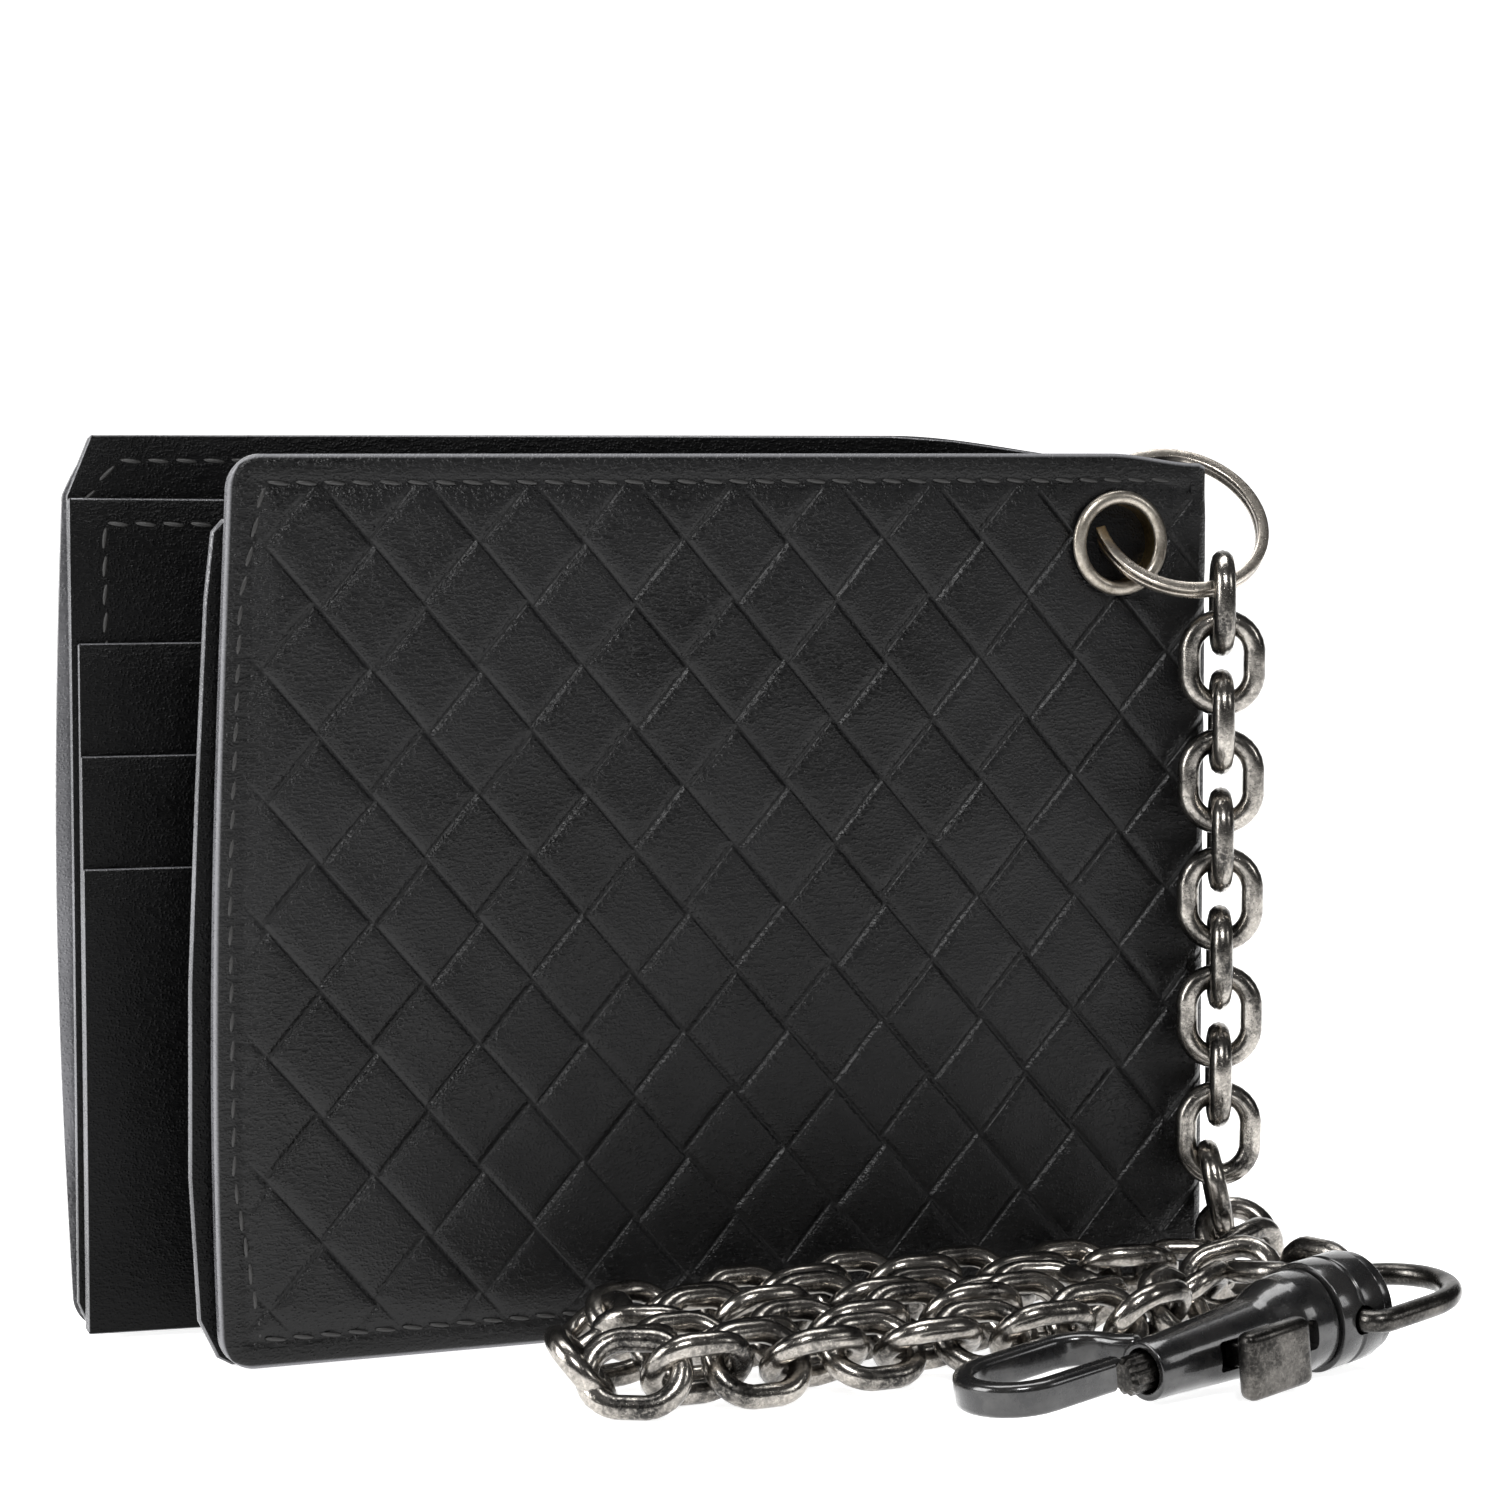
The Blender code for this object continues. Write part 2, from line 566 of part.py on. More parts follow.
def build_clasp(steel, worn, spring_steel):
    axis = make_empty("clasp_axis", CLASP_AT, (0.0, -CLASP_RISE, CLASP_TURN))
    barrel = turned(
        "hook_body",
        [
            (BARREL_MOUTH, 0.0),
            (BARREL_MOUTH, BARREL_MOUTH_R),
            (-BARREL_MOUTH, BARREL_MOUTH_R),
            (BARREL_WAIST_AT, BARREL_WAIST_R),
            (BARREL_DOME_AT - 0.0025, BARREL_DOME_R - 0.0007),
            (BARREL_DOME_AT, BARREL_DOME_R),
            (BARREL_END, BARREL_DOME_R),
            (BARREL_END, 0.0),
        ],
        steel,
        axis,
    )
    bm = bmesh.new()
    low = HOOK_BAR_LIFT - HOOK_BAR_TALL / 2
    face = bm.faces.new([bm.verts.new((p.x, p.y, low)) for p in hook_outline()])
    grown = bmesh.ops.extrude_face_region(bm, geom=[face])
    raised = [item for item in grown["geom"] if isinstance(item, bmesh.types.BMVert)]
    bmesh.ops.translate(bm, verts=raised, vec=(0, 0, HOOK_BAR_TALL))
    boolean(barrel, mesh_object("hook_bar", bm, None, axis), "UNION")
    bore_r = BOLT_R + BOLT_FIT
    rivet_bore = RIVET_R + BOLT_FIT
    bore = turned(
        "barrel_bore",
        [
            (BARREL_MOUTH - 0.001, 0.0),
            (BARREL_MOUTH - 0.001, bore_r),
            (BORE_END, bore_r),
            (BORE_END, rivet_bore),
            (BARREL_END + 0.001, rivet_bore),
            (BARREL_END + 0.001, 0.0),
        ],
        None,
        axis,
    )
    boolean(barrel, bore)
    half_slot = SLOT_WIDE / 2
    slot_low = (SLOT_FROM, -COLLAR_R - 0.002, -half_slot)
    slot = block("barrel_slot", slot_low, (SLOT_TO, 0.0, half_slot), None, axis)
    boolean(barrel, slot)

    turned(
        "gate_bolt",
        [
            (BOLT_TIP, 0.0),
            (BOLT_TIP, BOLT_R - 0.0004),
            (BOLT_TIP + 0.0004, BOLT_R),
            (BOLT_END, BOLT_R),
            (BOLT_END, 0.0),
        ],
        worn,
        axis,
    )
    stem_half = TAB_STEM_LONG / 2
    plate = block(
        "thumb_tab",
        (TAB_AT - TAB_LONG / 2, -TAB_OUT - TAB_THICK, -TAB_TALL / 2),
        (TAB_AT + TAB_LONG / 2, -TAB_OUT, TAB_TALL / 2),
        worn,
        axis,
    )
    soften = plate.modifiers.new("Soften", "BEVEL")
    soften.width = TAB_THICK * 0.4
    soften.segments = 2
    stem = block(
        "tab_stem",
        (TAB_AT - stem_half, -TAB_OUT - TAB_THICK / 2, -TAB_STEM_WIDE / 2),
        (TAB_AT + stem_half, -BOLT_R - GAP, TAB_STEM_WIDE / 2),
        None,
        axis,
    )
    boolean(plate, stem, "UNION")

    spring_from = BOLT_END + GAP + SPRING_WIRE_R
    spring_to = BORE_END - GAP - SPRING_WIRE_R
    coil_r = BOLT_R - SPRING_WIRE_R
    turns = []
    steps = SPRING_TURNS * 12
    for step in range(steps + 1):
        angle = math.tau * step / 12
        along = spring_from + (spring_to - spring_from) * step / steps
        turns.append((along, coil_r * math.cos(angle), coil_r * math.sin(angle)))
    tube("return_spring", turns, SPRING_WIRE_R, spring_steel, axis, sides=0)

    collar_to = COLLAR_FROM + COLLAR_LONG
    lip = 0.0004
    collar = turned(
        "swivel_collar",
        [
            (COLLAR_FROM, rivet_bore),
            (COLLAR_FROM, COLLAR_R - lip),
            (COLLAR_FROM + lip, COLLAR_R),
            (collar_to - lip, COLLAR_R),
            (collar_to, COLLAR_R - lip),
            (collar_to, rivet_bore),
        ],
        steel,
        axis,
        closed=True,
    )
    pin_floor = COLLAR_R - BOW_PIN_DEPTH
    hole_r = BOW_WIRE_R + BOW_PIN_FIT
    for side in (-1, 1):
        hole = turned(
            f"bow_hole_{'near' if side < 0 else 'far'}",
            [(0.0, 0.0), (0.0, hole_r), (COLLAR_R, hole_r), (COLLAR_R, 0.0)],
            None,
            axis,
        )
        hole.location = (PIN_AT, side * (pin_floor - BOW_PIN_FIT), 0.0)
        hole.rotation_euler = (0.0, 0.0, side * math.pi / 2)
        boolean(collar, hole)
    cap_from = collar_to + BOLT_FIT
    cap_to = cap_from + CAP_THICK
    turned(
        "swivel_rivet",
        [
            (BORE_END + GAP, 0.0),
            (BORE_END + GAP, RIVET_R),
            (cap_from, RIVET_R),
            (cap_from, CAP_R),
            (cap_to - lip, CAP_R),
            (cap_to, CAP_R - lip),
            (cap_to, 0.0),
        ],
        steel,
        axis,
    )

    arm = BOW_ARM
    bend = BOW_WIRE_R * 1.5
    bow = [(PIN_AT, -pin_floor, 0.0)]
    for k in range(4):
        angle = math.pi / 2 * k / 3
        bow.append((PIN_AT + bend * (1 - math.cos(angle)), -arm + bend * (1 - math.sin(angle)), 0.0))
    round_r = arm
    middle = PIN_AT + BOW_REACH - round_r
    for k in range(11):
        angle = -math.pi / 2 + math.pi * k / 10
        bow.append((middle + round_r * math.cos(angle), round_r * math.sin(angle), 0.0))
    for k in range(4):
        angle = math.pi / 2 * (1 - k / 3)
        bow.append((PIN_AT + bend * (1 - math.cos(angle)), arm - bend * (1 - math.sin(angle)), 0.0))
    bow.append((PIN_AT, pin_floor, 0.0))
    tube("bow", bow, BOW_WIRE_R, worn, axis, sides=3)

    end_link = tube("chain_link_end", link_outline(), LINK_WIRE_R, worn, axis, cyclic=True, sides=1)
    end_link.location = END_LINK_AT
    end_link.rotation_euler = (0.0, math.pi / 2, math.pi / 2)


clear_scene()
woven_leather = make_material("woven_leather", (0.018, 0.018, 0.020), 0.38)
smooth_leather = make_material("smooth_leather", (0.014, 0.014, 0.015), 0.42)
lining_leather = make_material("lining_leather", (0.016, 0.016, 0.017), 0.5)
eyelet_metal = make_material("eyelet_metal", (0.35, 0.32, 0.27), 0.35, 1.0)
chain_metal = make_material("chain_metal", (0.22, 0.20, 0.18), 0.38, 1.0)
clasp_metal = make_material("clasp_metal", (0.05, 0.05, 0.052), 0.3, 0.9)
worn_metal = make_material("worn_metal", (0.18, 0.17, 0.16), 0.4, 1.0)

build_front_half(woven_leather, smooth_leather, lining_leather)
build_rear_half(woven_leather, smooth_leather, lining_leather)
build_spine(woven_leather)
build_eyelet(eyelet_metal)
build_split_ring(eyelet_metal)
build_chain(chain_metal)
build_clasp(clasp_metal, worn_metal, chain_metal)
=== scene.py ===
"""Looks of a black bifold wallet of woven leather, with a link chain and a swivel snap clasp.

It follows the wallet as it is put together. Metres, in the CAD model's frame: +X runs from the
front half to the fold, +Y from the front half to the rear half, +Z up.
"""

import math

import bmesh
import bpy
import numpy as np
from mathutils import Euler, Matrix, Vector, noise


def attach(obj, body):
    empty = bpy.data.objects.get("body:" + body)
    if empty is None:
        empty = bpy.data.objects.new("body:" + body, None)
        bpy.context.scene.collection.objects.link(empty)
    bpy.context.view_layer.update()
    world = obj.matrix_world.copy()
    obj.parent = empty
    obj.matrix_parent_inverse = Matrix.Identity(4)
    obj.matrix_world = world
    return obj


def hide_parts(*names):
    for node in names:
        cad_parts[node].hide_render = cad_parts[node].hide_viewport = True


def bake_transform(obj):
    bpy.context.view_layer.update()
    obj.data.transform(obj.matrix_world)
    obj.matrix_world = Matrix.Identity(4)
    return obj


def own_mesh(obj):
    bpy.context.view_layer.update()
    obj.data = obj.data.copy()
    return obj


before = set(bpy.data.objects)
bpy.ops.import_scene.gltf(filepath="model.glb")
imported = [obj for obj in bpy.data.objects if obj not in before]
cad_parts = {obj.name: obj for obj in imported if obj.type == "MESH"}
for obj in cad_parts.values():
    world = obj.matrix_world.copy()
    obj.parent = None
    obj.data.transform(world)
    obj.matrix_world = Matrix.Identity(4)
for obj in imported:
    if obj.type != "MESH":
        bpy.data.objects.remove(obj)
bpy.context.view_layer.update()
mm = 0.001

# ---- Studio: a pale table with a backdrop, broad soft boxes and the camera.
# The table and backdrop are one sheet of matt white paper rolled down from the wall. The air
# is dim as a light, and the paper in front doesn't glow, because black leather mirrors both.

eye = bpy.data.cameras.new("camera")
eye.lens = 98.4
eye.sensor_width = 36.0
eye.clip_start = 0.01
eye.clip_end = 20.0
camera = bpy.data.objects.new("camera", eye)
camera.location = (-0.2269, -0.4147, 0.0955)
camera.rotation_euler = (math.radians(90.0 - 4.2), 0.0, math.radians(-22.8))
bpy.context.scene.collection.objects.link(camera)
bpy.context.scene.camera = camera


def soft_box(name, place, aim, size, power):
    lamp = bpy.data.lights.new(name, "AREA")
    lamp.shape = "RECTANGLE"
    lamp.size, lamp.size_y = size
    lamp.energy = power
    holder = bpy.data.objects.new(name, lamp)
    holder.location = place
    holder.rotation_euler = (Vector(aim) - Vector(place)).to_track_quat("-Z", "Y").to_euler()
    bpy.context.scene.collection.objects.link(holder)


wallet_middle = (-0.05, 0.0, 0.05)
soft_box("key_box", (-0.25, -0.70, 0.72), wallet_middle, (0.26, 0.20), 6.0)
soft_box("right_box", (0.75, -0.75, 0.55), wallet_middle, (0.25, 0.35), 1.3)
soft_box("left_box", (-0.95, 0.05, 0.40), wallet_middle, (0.5, 0.6), 9.0)
soft_box("top_box", (0.0, 0.25, 1.1), wallet_middle, (0.9, 0.5), 9.0)

air = bpy.data.worlds.new("studio")
air.use_nodes = True
glow = air.node_tree.nodes["Background"].inputs
glow["Color"].default_value = (1.0, 1.0, 1.0, 1.0)
seen = air.node_tree.nodes.new("ShaderNodeLightPath").outputs["Is Camera Ray"]
pale = air.node_tree.nodes.new("ShaderNodeMapRange")
pale.inputs["To Min"].default_value = 0.07
pale.inputs["To Max"].default_value = 1.1
air.node_tree.links.new(seen, pale.inputs["Value"])
air.node_tree.links.new(pale.outputs["Result"], glow["Strength"])
bpy.context.scene.world = air
bpy.context.scene.view_settings.view_transform = "Standard"


class Channel:
    """A socket of a material's tree. Arithmetic on it makes Math nodes."""

    def __init__(self, tree, socket):
        self.tree = tree
        self.socket = socket

    def make(self, kind, sockets=(), output=0, **settings):
        node = self.tree.nodes.new("ShaderNode" + kind)
        for name, value in settings.items():
            setattr(node, name, value)
        for name, value in dict(sockets).items():
            if isinstance(value, Channel):
                self.tree.links.new(value.socket, node.inputs[name])
            else:
                node.inputs[name].default_value = value
        return Channel(self.tree, node.outputs[output])

    def math(self, operation, *others):
        return self.make("Math", enumerate((self, *others)), operation=operation)

    def __add__(self, other):
        return self.math("ADD", other)

    def __sub__(self, other):
        return self.math("SUBTRACT", other)

    def __rsub__(self, other):
        return self.math("MULTIPLY", -1.0) + other

    def __mul__(self, other):
        return self.math("MULTIPLY", other)

    def __abs__(self):
        return self.math("ABSOLUTE")

    __radd__ = __add__
    __rmul__ = __mul__

    def ramp(self, low, high, start=0.0, end=1.0):
        ends = {"Value": self, "From Min": low, "From Max": high, "To Min": start, "To Max": end}
        return self.make("MapRange", ends, interpolation_type="SMOOTHSTEP")

    def blend(self, first, second):
        """The colour that goes from first to second as this channel goes from 0 to 1."""
        return self.make("Mix", {0: self, 6: first, 7: second}, output=2, data_type="RGBA")

    def noise(self, scale, detail=3.0, roughness=0.5):
        """Noise at this many waves a metre over the coordinate that this channel holds."""
        sockets = {"Vector": self, "Scale": scale, "Detail": detail, "Roughness": roughness}
        return self.make("TexNoise", sockets)


def new_finish(name):
    """A material, its shader, and the channel of its object coordinates."""
    material = bpy.data.materials.new(name)
    material.use_nodes = True
    tree = material.node_tree
    coordinates = tree.nodes.new("ShaderNodeTexCoord").outputs["Object"]
    return material, tree.nodes["Principled BSDF"], Channel(tree, coordinates)


def feed(shader, channels):
    for name, channel in channels.items():
        shader.id_data.links.new(channel.socket, shader.inputs[name])


paper = bmesh.new()
corners = [(-3.0, -2.5, 0.0), (3.0, -2.5, 0.0), (3.0, 2.2, 0.0), (-3.0, 2.2, 0.0)]
paper.faces.new([paper.verts.new(p) for p in corners])
rear_edge = [e for e in paper.edges if all(v.co.y > 2.0 for v in e.verts)]
wall = bmesh.ops.extrude_edge_only(paper, edges=rear_edge)
bmesh.ops.translate(
    paper, verts=[v for v in wall["geom"] if isinstance(v, bmesh.types.BMVert)], vec=(0.0, 0.6, 3.0)
)
bmesh.ops.bevel(
    paper, geom=rear_edge, offset=1.2, affect="EDGES", segments=12, profile=0.5, material=-1
)
paper_mesh = bpy.data.meshes.new("paper_floor")
bmesh.ops.translate(paper, verts=paper.verts, vec=(0.0, 0.0, -0.0001))
bmesh.ops.recalc_face_normals(paper, faces=paper.faces)
paper.to_mesh(paper_mesh)
paper.free()
paper_mesh.shade_smooth()
paper_white, paper_shader, paper_place = new_finish("matt_paper")
paper_shader.inputs["Base Color"].default_value = (0.93, 0.93, 0.93, 1.0)
paper_shader.inputs["Roughness"].default_value = 0.75
deep = paper_place.make("SeparateXYZ", {"Vector": paper_place}, output=1).ramp(-0.40, -0.10)
feed(paper_shader, {"Emission Color": deep.blend((0.08, 0.08, 0.08, 1.0), (1.0, 1.0, 1.0, 1.0))})
paper_shader.inputs["Emission Strength"].default_value = 0.85
paper_mesh.materials.append(paper_white)
paper_floor = bpy.data.objects.new("paper_floor", paper_mesh)
bpy.context.scene.collection.objects.link(paper_floor)

# ---- Chain: oval links of 2.5 mm round wire, cast and tumbled, then blackened and rubbed back.
# It hangs from the split ring down the fold, lies on the table in four rows and ends on the
# link that the clasp's bow threads. Each link stands a quarter turn from the last.


def metal_finish(name, dark, bright, roughness, wear=0.5, speckle=0.35, metallic=1.0, coat=0.0):
    """Blackened metal: dark in its hollows, rubbed bright in patches, with fine pits."""
    material, shader, place = new_finish(name)
    broad = place.noise(260.0, 4.0, 0.6).ramp(wear - 0.16, wear + 0.16)
    fine = place.noise(2600.0, 3.0, 0.7).ramp(0.42, 0.68)
    rub = broad * (1.0 - speckle) + fine * speckle
    pits = place.make("TexVoronoi", {"Vector": place, "Scale": 3800.0}).ramp(0.05, 0.32)
    brush = place.noise(900.0, 5.0, 0.65)
    raised = pits * 0.6 + brush * 0.8
    bump = place.make("Bump", {"Height": raised, "Strength": 0.35, "Distance": 0.00006})
    feed(
        shader,
        {
            "Base Color": (rub * pits.ramp(0.0, 1.0, 0.5, 1.0)).blend((*dark, 1.0), (*bright, 1.0)),
            "Roughness": rub * -0.10 + brush * 0.14 + roughness,
            "Normal": bump,
        },
    )
    shader.inputs["Metallic"].default_value = metallic
    shader.inputs["Coat Weight"].default_value = coat
    shader.inputs["Coat Roughness"].default_value = 0.12
    return material


def to_object(name, bm, materials, body, nodes=(), pose=None, sharp=38.0, clean=True):
    """Ends a piece: cleans its mesh, puts it in place and lets it ride on its body."""
    if clean:
        bmesh.ops.remove_doubles(bm, verts=bm.verts, dist=1e-6)
        bmesh.ops.recalc_face_normals(bm, faces=bm.faces)
    if pose is not None:
        bmesh.ops.transform(bm, matrix=pose, verts=bm.verts)
    mesh = bpy.data.meshes.new(name)
    bm.to_mesh(mesh)
    bm.free()
    mesh.shade_smooth()
    mesh.set_sharp_from_angle(angle=math.radians(sharp))
    for material in materials:
        mesh.materials.append(material)
    piece = bpy.data.objects.new(name, mesh)
    bpy.context.scene.collection.objects.link(piece)
    if nodes:
        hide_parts(*nodes)
    if body:
        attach(piece, body)
    return piece


ring_centre = Vector((-0.0108 + 0.0083, -0.0071 + 0.0012, 0.085 + 0.0022))
ring_pose = Matrix.Translation(ring_centre) @ Euler(
    (0.0, -math.radians(39.6), math.radians(-101.0))
).to_matrix().to_4x4()
ring_r = 9.65 * mm
hang_angle = math.radians(-160.0)
hang_point = ring_pose @ Vector((0.0, -math.sin(hang_angle) * ring_r, math.cos(hang_angle) * ring_r))

clasp_pose = Matrix.Translation((-0.0324, -0.0565, 0.0036)) @ Euler(
    (0.0, -math.radians(6.0), math.radians(15.0))
).to_matrix().to_4x4()

link_long = 12.0 * mm
link_wide = 9.8 * mm
link_wire = 1.25 * mm
link_steps = 28
link_pitch = 6.65 * mm
ring_half_wide = 0.65 * mm
first_link_rise = 0.9 * mm
first_link = hang_point - Vector(
    (0.0, 0.0, link_long / 2 - 2 * link_wire - ring_half_wide - first_link_rise)
)
hanging_links = 10
last_hanging = first_link - Vector((0.0, 0.0, link_pitch * (hanging_links - 1)))
end_link_x, end_link_z = 0.0333, -0.0005
end_link_at = clasp_pose @ Vector((end_link_x, 0.0092, end_link_z))
end_link_tip = clasp_pose @ Vector((end_link_x, 0.0158, end_link_z))
end_link_lead = clasp_pose @ Vector((end_link_x, 0.0185, end_link_z))
laid_route = [
    (0.0018, -0.0130, 0.0060),
    (0.0046, -0.0154, 0.0044),
    (0.0036, -0.0192, 0.0040),
    (-0.0030, -0.0182, 0.0039),
    (-0.0100, -0.0138, 0.0039),
    (-0.0170, -0.0130, 0.0039),
    (-0.0300, -0.0134, 0.0039),
    (-0.0440, -0.0132, 0.0039),
    (-0.0580, -0.0140, 0.0039),
    (-0.0700, -0.0149, 0.0039),
    (-0.0768, -0.0170, 0.0039),
    (-0.0782, -0.0206, 0.0039),
    (-0.0740, -0.0236, 0.0039),
    (-0.0620, -0.0228, 0.0039),
    (-0.0480, -0.0219, 0.0039),
    (-0.0360, -0.0217, 0.0039),
    (-0.0260, -0.0224, 0.0039),
    (-0.0220, -0.0262, 0.0039),
    (-0.0264, -0.0300, 0.0039),
    (-0.0360, -0.0304, 0.0039),
    (-0.0480, -0.0305, 0.0039),
    (-0.0600, -0.0312, 0.0039),
    (-0.0740, -0.0322, 0.0039),
    (-0.0826, -0.0330, 0.0039),
    (-0.0864, -0.0368, 0.0039),
    (-0.0830, -0.0408, 0.0039),
    (-0.0740, -0.0412, 0.0039),
    (-0.0620, -0.0402, 0.0039),
    (-0.0500, -0.0392, 0.0039),
    (-0.0400, -0.0390, 0.0039),
    (-0.0300, -0.0386, 0.0039),
    (-0.0210, -0.0366, 0.0039),
    (-0.0150, -0.0310, 0.0039),
    (-0.0104, -0.0264, 0.0041),
    (-0.0070, -0.0262, 0.0048),
]


def curve_through(points, steps=24):
    """Closely spaced points on the smooth curve through the given ones."""
    knots = [Vector(p) for p in points]
    knots = [2 * knots[0] - knots[1], *knots, 2 * knots[-1] - knots[-2]]
    fine = []
    for a, b, c, d in zip(knots, knots[1:], knots[2:], knots[3:]):
        for step in range(steps):
            t = step / steps
            bend = (2 * a - 5 * b + 4 * c - d) * t**2 + (3 * b - a - 3 * c + d) * t**3
            fine.append(0.5 * (2 * b + (c - a) * t + bend))
    return [*fine, knots[-2]]


def places_along(fine, pitch):
    """Points a straight pitch apart along the line, and how far its end is from the last."""
    places = [fine[0]]
    for before, after in zip(fine, fine[1:]):
        while (after - places[-1]).length >= pitch:
            low, high = 0.0, 1.0
            for _ in range(20):
                middle = (low + high) / 2
                if (before.lerp(after, middle) - places[-1]).length < pitch:
                    low = middle
                else:
                    high = middle
            places.append(before.lerp(after, high))
    return places, (fine[-1] - places[-1]).length


touch_down = 0.0099
laid_line = curve_through(
    [
        last_hanging,
        (last_hanging.x, last_hanging.y, touch_down),
        *laid_route,
        end_link_lead,
        end_link_tip,
        end_link_at,
    ]
)
shortest_pitch, pitch_step = 6.45, 0.005
tries = []
for step in range(60):
    pitch = (shortest_pitch + pitch_step * step) * mm
    places, short = places_along(laid_line, pitch)
    tries.append((min(short, abs(pitch - short)), pitch, short))
best_pitch, best_short = min(tries)[1:]
laid_places = places_along(laid_line, best_pitch)[0]
if best_short > best_pitch / 2:
    laid_places.append(end_link_at)
laid_places[-1] = end_link_at
hanging_places = [first_link - Vector((0, 0, link_pitch * k)) for k in range(hanging_links - 1)]
link_places = hanging_places + laid_places

link = bmesh.new()
bmesh.ops.create_circle(link, segments=12, radius=link_wire)
bmesh.ops.rotate(link, verts=link.verts, matrix=Matrix.Rotation(math.pi / 2, 3, "Y"))
bmesh.ops.translate(link, verts=link.verts, vec=(0.0, 0.0, link_wide / 2 - link_wire))
bmesh.ops.rotate(link, verts=link.verts, matrix=Matrix.Rotation(math.pi / link_steps, 3, "Y"))
bmesh.ops.spin(
    link,
    geom=link.verts[:] + link.edges[:],
    axis=(0, 1, 0),
    cent=(0, 0, 0),
    angle=math.tau,
    steps=link_steps,
    use_merge=True,
)
for vert in link.verts:
    vert.co.z += math.copysign((link_long - link_wide) / 2, vert.co.z)
bmesh.ops.recalc_face_normals(link, faces=link.faces)
link_mesh = bpy.data.meshes.new("link")
link.to_mesh(link_mesh)
link.free()

lying_lean, lying_sway = 45.0, 9.0
chain = bmesh.new()
up = Vector((0.0, 0.0, 1.0))
carried = Matrix.Rotation(math.radians(65.0), 3, "Z") @ Vector((0.0, 1.0, 0.0))
last = len(link_places) - 1
clasp_along = clasp_pose.to_3x3() @ Vector((1.0, 0.0, 0.0))
clasp_across = clasp_pose.to_3x3() @ Vector((0.0, 1.0, 0.0))
for index, place in enumerate(link_places):
    before = link_places[max(index - 1, 0)]
    after = link_places[min(index + 1, last)]
    along = (after - before).normalized()
    if index == last:
        along = -clasp_across
    carried = (carried - along * carried.dot(along)).normalized()
    normal = carried
    if index > hanging_links:
        side = along.cross(up).normalized()
        sway = math.radians(lying_lean + lying_sway * math.sin(index * 2.4))
        lying = side * math.cos(sway) + side.cross(along) * math.sin(sway)
        share = min(1.0, (index - hanging_links) / 4)
        if carried.dot(lying) < 0:
            lying = -lying
        normal = carried.lerp(lying, share)
    near_end = max(0.0, 1.0 - (last - index) / 3)
    if near_end > 0.0:
        hooked = clasp_along if last % 2 == 0 else clasp_along.cross(along)
        if normal.dot(hooked) < 0:
            hooked = -hooked
        normal = normal.lerp(hooked, near_end)
    normal = (normal - along * normal.dot(along)).normalized()
    if index % 2 == 1:
        normal = along.cross(normal)
    turn = Matrix((along.cross(normal), normal, along)).transposed()
    if turn.determinant() < 0:
        turn = Matrix((normal.cross(along), normal, along)).transposed()
    known = len(chain.verts)
    chain.from_mesh(link_mesh)
    chain.verts.ensure_lookup_table()
    bmesh.ops.transform(
        chain, matrix=Matrix.Translation(place) @ turn.to_4x4(), verts=chain.verts[known:]
    )
    sunk = min(vert.co.z for vert in chain.verts[known:])
    if sunk < 0.0:
        bmesh.ops.translate(chain, verts=chain.verts[known:], vec=(0.0, 0.0, -sunk))

link_metal = metal_finish(
    "blackened_link_metal", (0.030, 0.029, 0.028), (0.47, 0.44, 0.40), 0.20, 0.48
)
chain_piece = to_object(
    "link_chain",
    chain,
    [link_metal],
    "front_half",
    [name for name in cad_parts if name.startswith("chain_")],
    sharp=60.0,
    clean=False,
)
chain_path = [hang_point, *link_places]
chain_length = sum((b - a).length for a, b in zip(chain_path, chain_path[1:]))

# ---- Split ring: two turns of flattened spring steel wire, pressed side by side.
# It is threaded through the eyelet and holds the chain's first link.

wire_wide = 1.3 * mm
wire_deep = 0.80 * mm
turn_steps = 72
ring = bmesh.new()
flat = ring.faces.new(
    [
        ring.verts.new((x, 0.0, ring_r + z))
        for x, z in (
            (-wire_deep, -wire_wide / 2),
            (-wire_deep, wire_wide / 2),
            (-0.02 * mm, wire_wide / 2),
            (-0.02 * mm, -wire_wide / 2),
        )
    ]
)
bmesh.ops.bevel(
    ring, geom=ring.verts[:], offset=0.22 * mm, affect="VERTICES", segments=3, profile=0.5, material=-1
)
section = len(ring.verts)
bmesh.ops.spin(
    ring,
    geom=ring.verts[:] + ring.edges[:] + ring.faces[:],
    axis=(1, 0, 0),
    cent=(0, 0, 0),
    angle=2 * math.tau,
    steps=2 * turn_steps,
    use_merge=False,
)
ring.verts.ensure_lookup_table()
for index, vert in enumerate(ring.verts):
    turns = (index // section) / turn_steps
    jog = min(max((turns - 0.94) / 0.12, 0.0), 1.0)
    vert.co.x += (wire_deep + 0.02 * mm) * jog * jog * (3 - 2 * jog)
bmesh.ops.rotate(ring, verts=ring.verts, matrix=Matrix.Rotation(math.radians(70), 3, "X"))
ring_steel = metal_finish("brushed_ring_steel", (0.20, 0.185, 0.165), (0.55, 0.50, 0.44), 0.28, 0.42)
to_object(
    "double_turn_ring",
    ring,
    [ring_steel],
    "split_ring",
    ["split_ring"],
    ring_pose,
)

# ---- Front cover: black calf strips woven on the bias and glued to a backing, skived and pressed.
# The border is flattened by the stitching, and its cut edge is inked and polished; the edge's light
# grey colour is a painted highlight.

strip_x = 11.70 * mm
strip_z = 13.28 * mm
strip_jog = 0.04
weave_at = (-63.1 * mm, 72.6 * mm)


def smooth(values, low, high):
    t = np.clip((values - low) / (high - low), 0.0, 1.0)
    return t * t * (3 - 2 * t)


def weave_places(x, z):
    """Where a point of the weave lies, counted in strips along its two directions."""
    return (
        (x - weave_at[0]) / strip_x + (z - weave_at[1]) / strip_z,
        (x - weave_at[0]) / strip_x - (z - weave_at[1]) / strip_z,
    )


